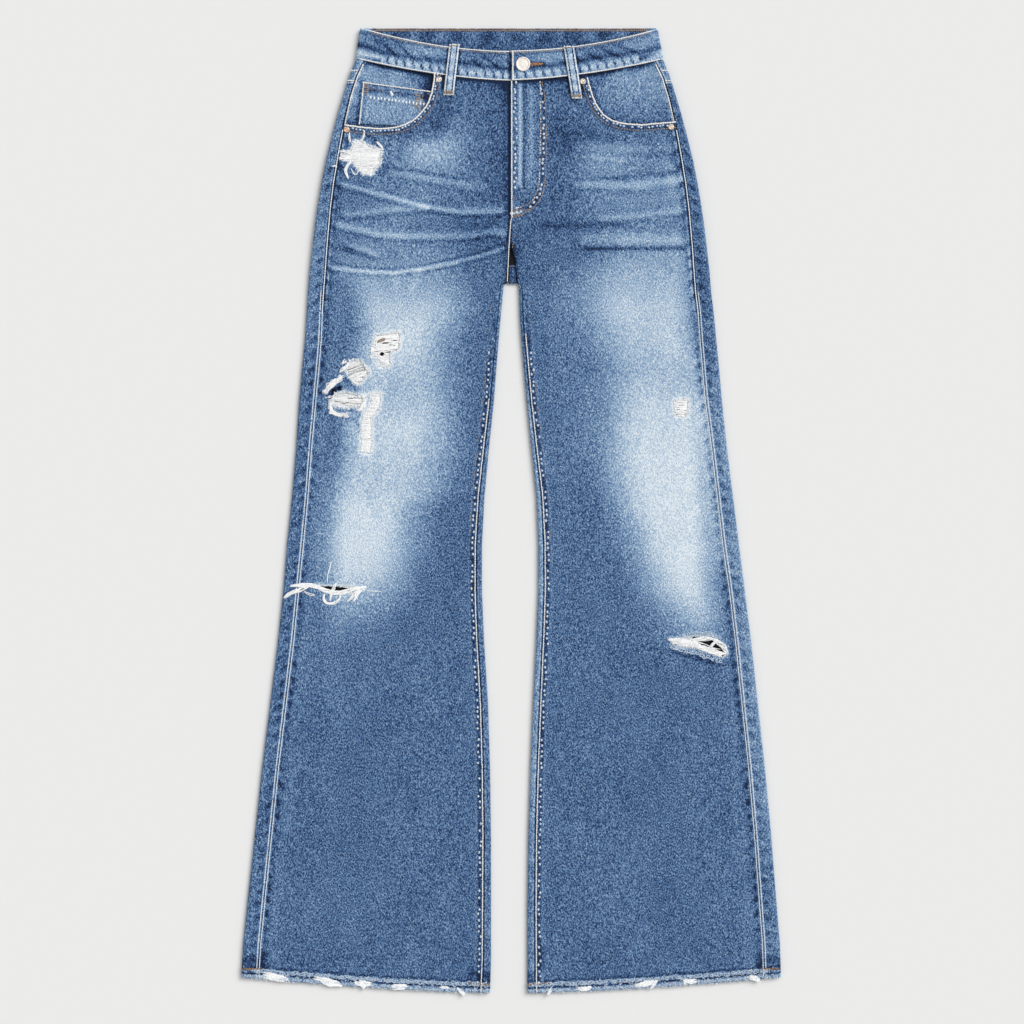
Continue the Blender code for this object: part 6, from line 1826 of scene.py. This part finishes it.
for side_name, side in SIDES:
    inner, outer = inner_edge(HEM_Y, side), outer_edge(HEM_Y, side)
    hem_node, panel = "hem_fray_" + side_name, "front_panel_" + side_name
    across = draw.uniform(inner + 8.0, outer - 8.0, FRINGE_COUNT)
    starts = np.stack((side * across, hem_line(across) + 0.4, draw.uniform(2.6, 4.0, len(across))), 1)
    below = wandering(starts, draw.normal(-math.pi / 2.0, 0.5, len(across)), draw.uniform(1.0, 3.4, len(across)),
                      draw.normal(0.0, 1.8, len(across)), draw.uniform(-0.3, 0.6, len(across)))
    tufted, thick = [], []
    for count, spread, radius, points in TUFTS[side]:
        made = tuft_paths(count, spread, points)
        tufted += [path + (0.0, 0.0, TUFT_RISE) for path in made]
        thick += [radius] * len(made)
    strands("hem_strands_" + side_name, hem_node, "weft", below[::2] + tufted,
            np.concatenate((draw.uniform(0.22, 0.42, len(below[::2])), thick)), (hem_node,))
    # fuzz on the face of the hem and the blue part of the fringe
    at = draw.uniform(inner + 3.0, outer - 3.0, FUZZ_COUNT)
    y = hem_line(at) + draw.uniform(0.0, FUZZ_TALL, len(at))
    z = front_z(at, y, side) + HEM_EXTRA + 0.12
    starts = np.stack((side * at, y, z), 1)
    fuzz = wandering(starts, draw.uniform(0.0, 2.0 * math.pi, len(at)), draw.uniform(1.2, 3.4, len(at)),
                     draw.normal(0.0, 2.2, len(at)), draw.uniform(0.0, 0.5, len(at)))
    strands("hem_fuzz_pale_" + side_name, panel, "fray", below[1::2] + fuzz[::2],
            draw.uniform(0.28, 0.46, len(below[1::2]) + len(fuzz[::2])))
    roll_at = np.linspace(inner + 4.0, outer - 14.0, 60)
    roll = np.stack((side * roll_at, hem_line(roll_at) + 9.4), 1)
    rolled = curls(roll, side, 2.1, 2.0, 0.7) + curls(roll + (0.0, -7.0), side, 2.6, 1.3)
    rolled = [path + (0.0, 0.0, HEM_EXTRA) for path in rolled]
    strands("hem_curls_" + side_name, panel, "fray", rolled, 0.46)
    at_low = [path for path in fuzz[1::2] if path[0, 1] < hem_line(abs(path[0, 0])) + 4.5]
    strands("hem_fuzz_white_" + side_name, panel, "weft", at_low, draw.uniform(0.2, 0.34, len(at_low)))

# ---- Back pockets and back belt loops
# Two five-sided patch pockets on the seat, sewn down at the sides and foot with two rows, and three flat belt loops.
# They lie under the seat, on the table.
BACK_POCKET_TOP = ((38.0, 428.0), (178.0, 440.0))
# The foot of the left back pocket: the share across, x and y.
BACK_POCKET_FOOT = np.array(((0.0, 50.0, 308.0), (0.49, 112.0, 292.0), (1.0, 176.0, 318.0)))
POCKET_WIDE, POCKET_TALL = 138.0, 122.0
BACK_LOOP_HEIGHTS = (497.0, 549.0)
BACK_Z, BACK_CLOTH = 0.25, 0.9


def pocket_point(u, v):
    """A place on the left back pocket from its two shares."""
    foot_x, foot_y = (np.interp(u, BACK_POCKET_FOOT[:, 0], BACK_POCKET_FOOT[:, i]) for i in (1, 2))
    (x0, y0), (x1, y1) = BACK_POCKET_TOP
    return lerp(foot_x, lerp(x0, x1, u), v), lerp(foot_y, lerp(y0, y1, u), v)


def pocket_row(inset, top_inset=0.0):
    """A row round the sides and foot of the left back pocket, this far in."""
    side, foot, top = inset / POCKET_WIDE, inset / POCKET_TALL, 1.0 - top_inset
    u = np.concatenate((np.full(12, side), np.linspace(side, 1.0 - side, 25), np.full(12, 1.0 - side)))
    v = np.concatenate((np.linspace(top, foot, 12), np.full(25, foot), np.linspace(foot, top, 12)))
    return np.stack(pocket_point(u, v), 1)


def under(height):
    """A constant height just under a face that looks down, for its stitches."""
    return lambda x, y: np.full(np.shape(x), height + 0.16)


for side_name, side in SIDES:
    def place(u, v, side=side):
        x, y = pocket_point(u, v)
        return side * x, y

    def raise_up(x, y, u, v):
        top = (1.0 - v) * POCKET_TALL
        near = np.minimum(np.minimum(np.minimum(u, 1.0 - u) * POCKET_WIDE, v * POCKET_TALL), top)
        wear = PLAIN_WEAR + 0.16 + 0.12 * smooth(0.3, 0.9, v) + bands(near, (0.3, 0.8, 0.8), (-0.2, 4.2, 2.0))
        wear = wear + 0.12 * puckers(y + x, near - 4.0, 5.0, 9.0) - bands(top, (0.15, 14.0, 1.0))
        return BACK_Z + 0.3 * bump_at(near, 0.8), wear

    pocket = cloth("back_pocket_patch_" + side_name, 48, 44, place, raise_up, BACK_CLOTH, face_up=False)
    node = "back_pocket_" + side_name
    stands_for(pocket, node, node)
    top_row = np.stack(pocket_point(np.linspace(0.01, 0.99, 30), np.full(30, 0.90)), 1)
    sewn(node + "_stitches", node, "copper", [
        stitch_row(row * (side, 1.0), under(BACK_Z), radius=0.4)
        for row in (pocket_row(2.0), pocket_row(8.0, 0.02), top_row)
    ])

for node, x in BACK_LOOPS:
    def place(u, v, x=x):
        return x + LOOP_WIDTH * (u - 0.5), lerp(*BACK_LOOP_HEIGHTS, v)

    def raise_up(x, y, u, v):
        out = np.abs(u - 0.5) * 2.0
        wear = 0.55 + 0.06 * np.sin(y / 1.9) + bands(out, (0.16, 0.88, 0.12), (-0.24, 0.60, 0.10))
        return BACK_Z + 0.2 * out ** 4, wear

    loop = cloth(node + "_strip", 14, 40, place, raise_up, BACK_CLOTH, face_up=False)
    stands_for(loop, node, node)
    sewn(node + "_tacks", node, "copper", [
        stitch_row(((x - 5.0, y), (x + 5.0, y)), under(BACK_Z), 0.75, 3.0, 0.38, across=True)
        for y in (499.0, 547.0)
    ])
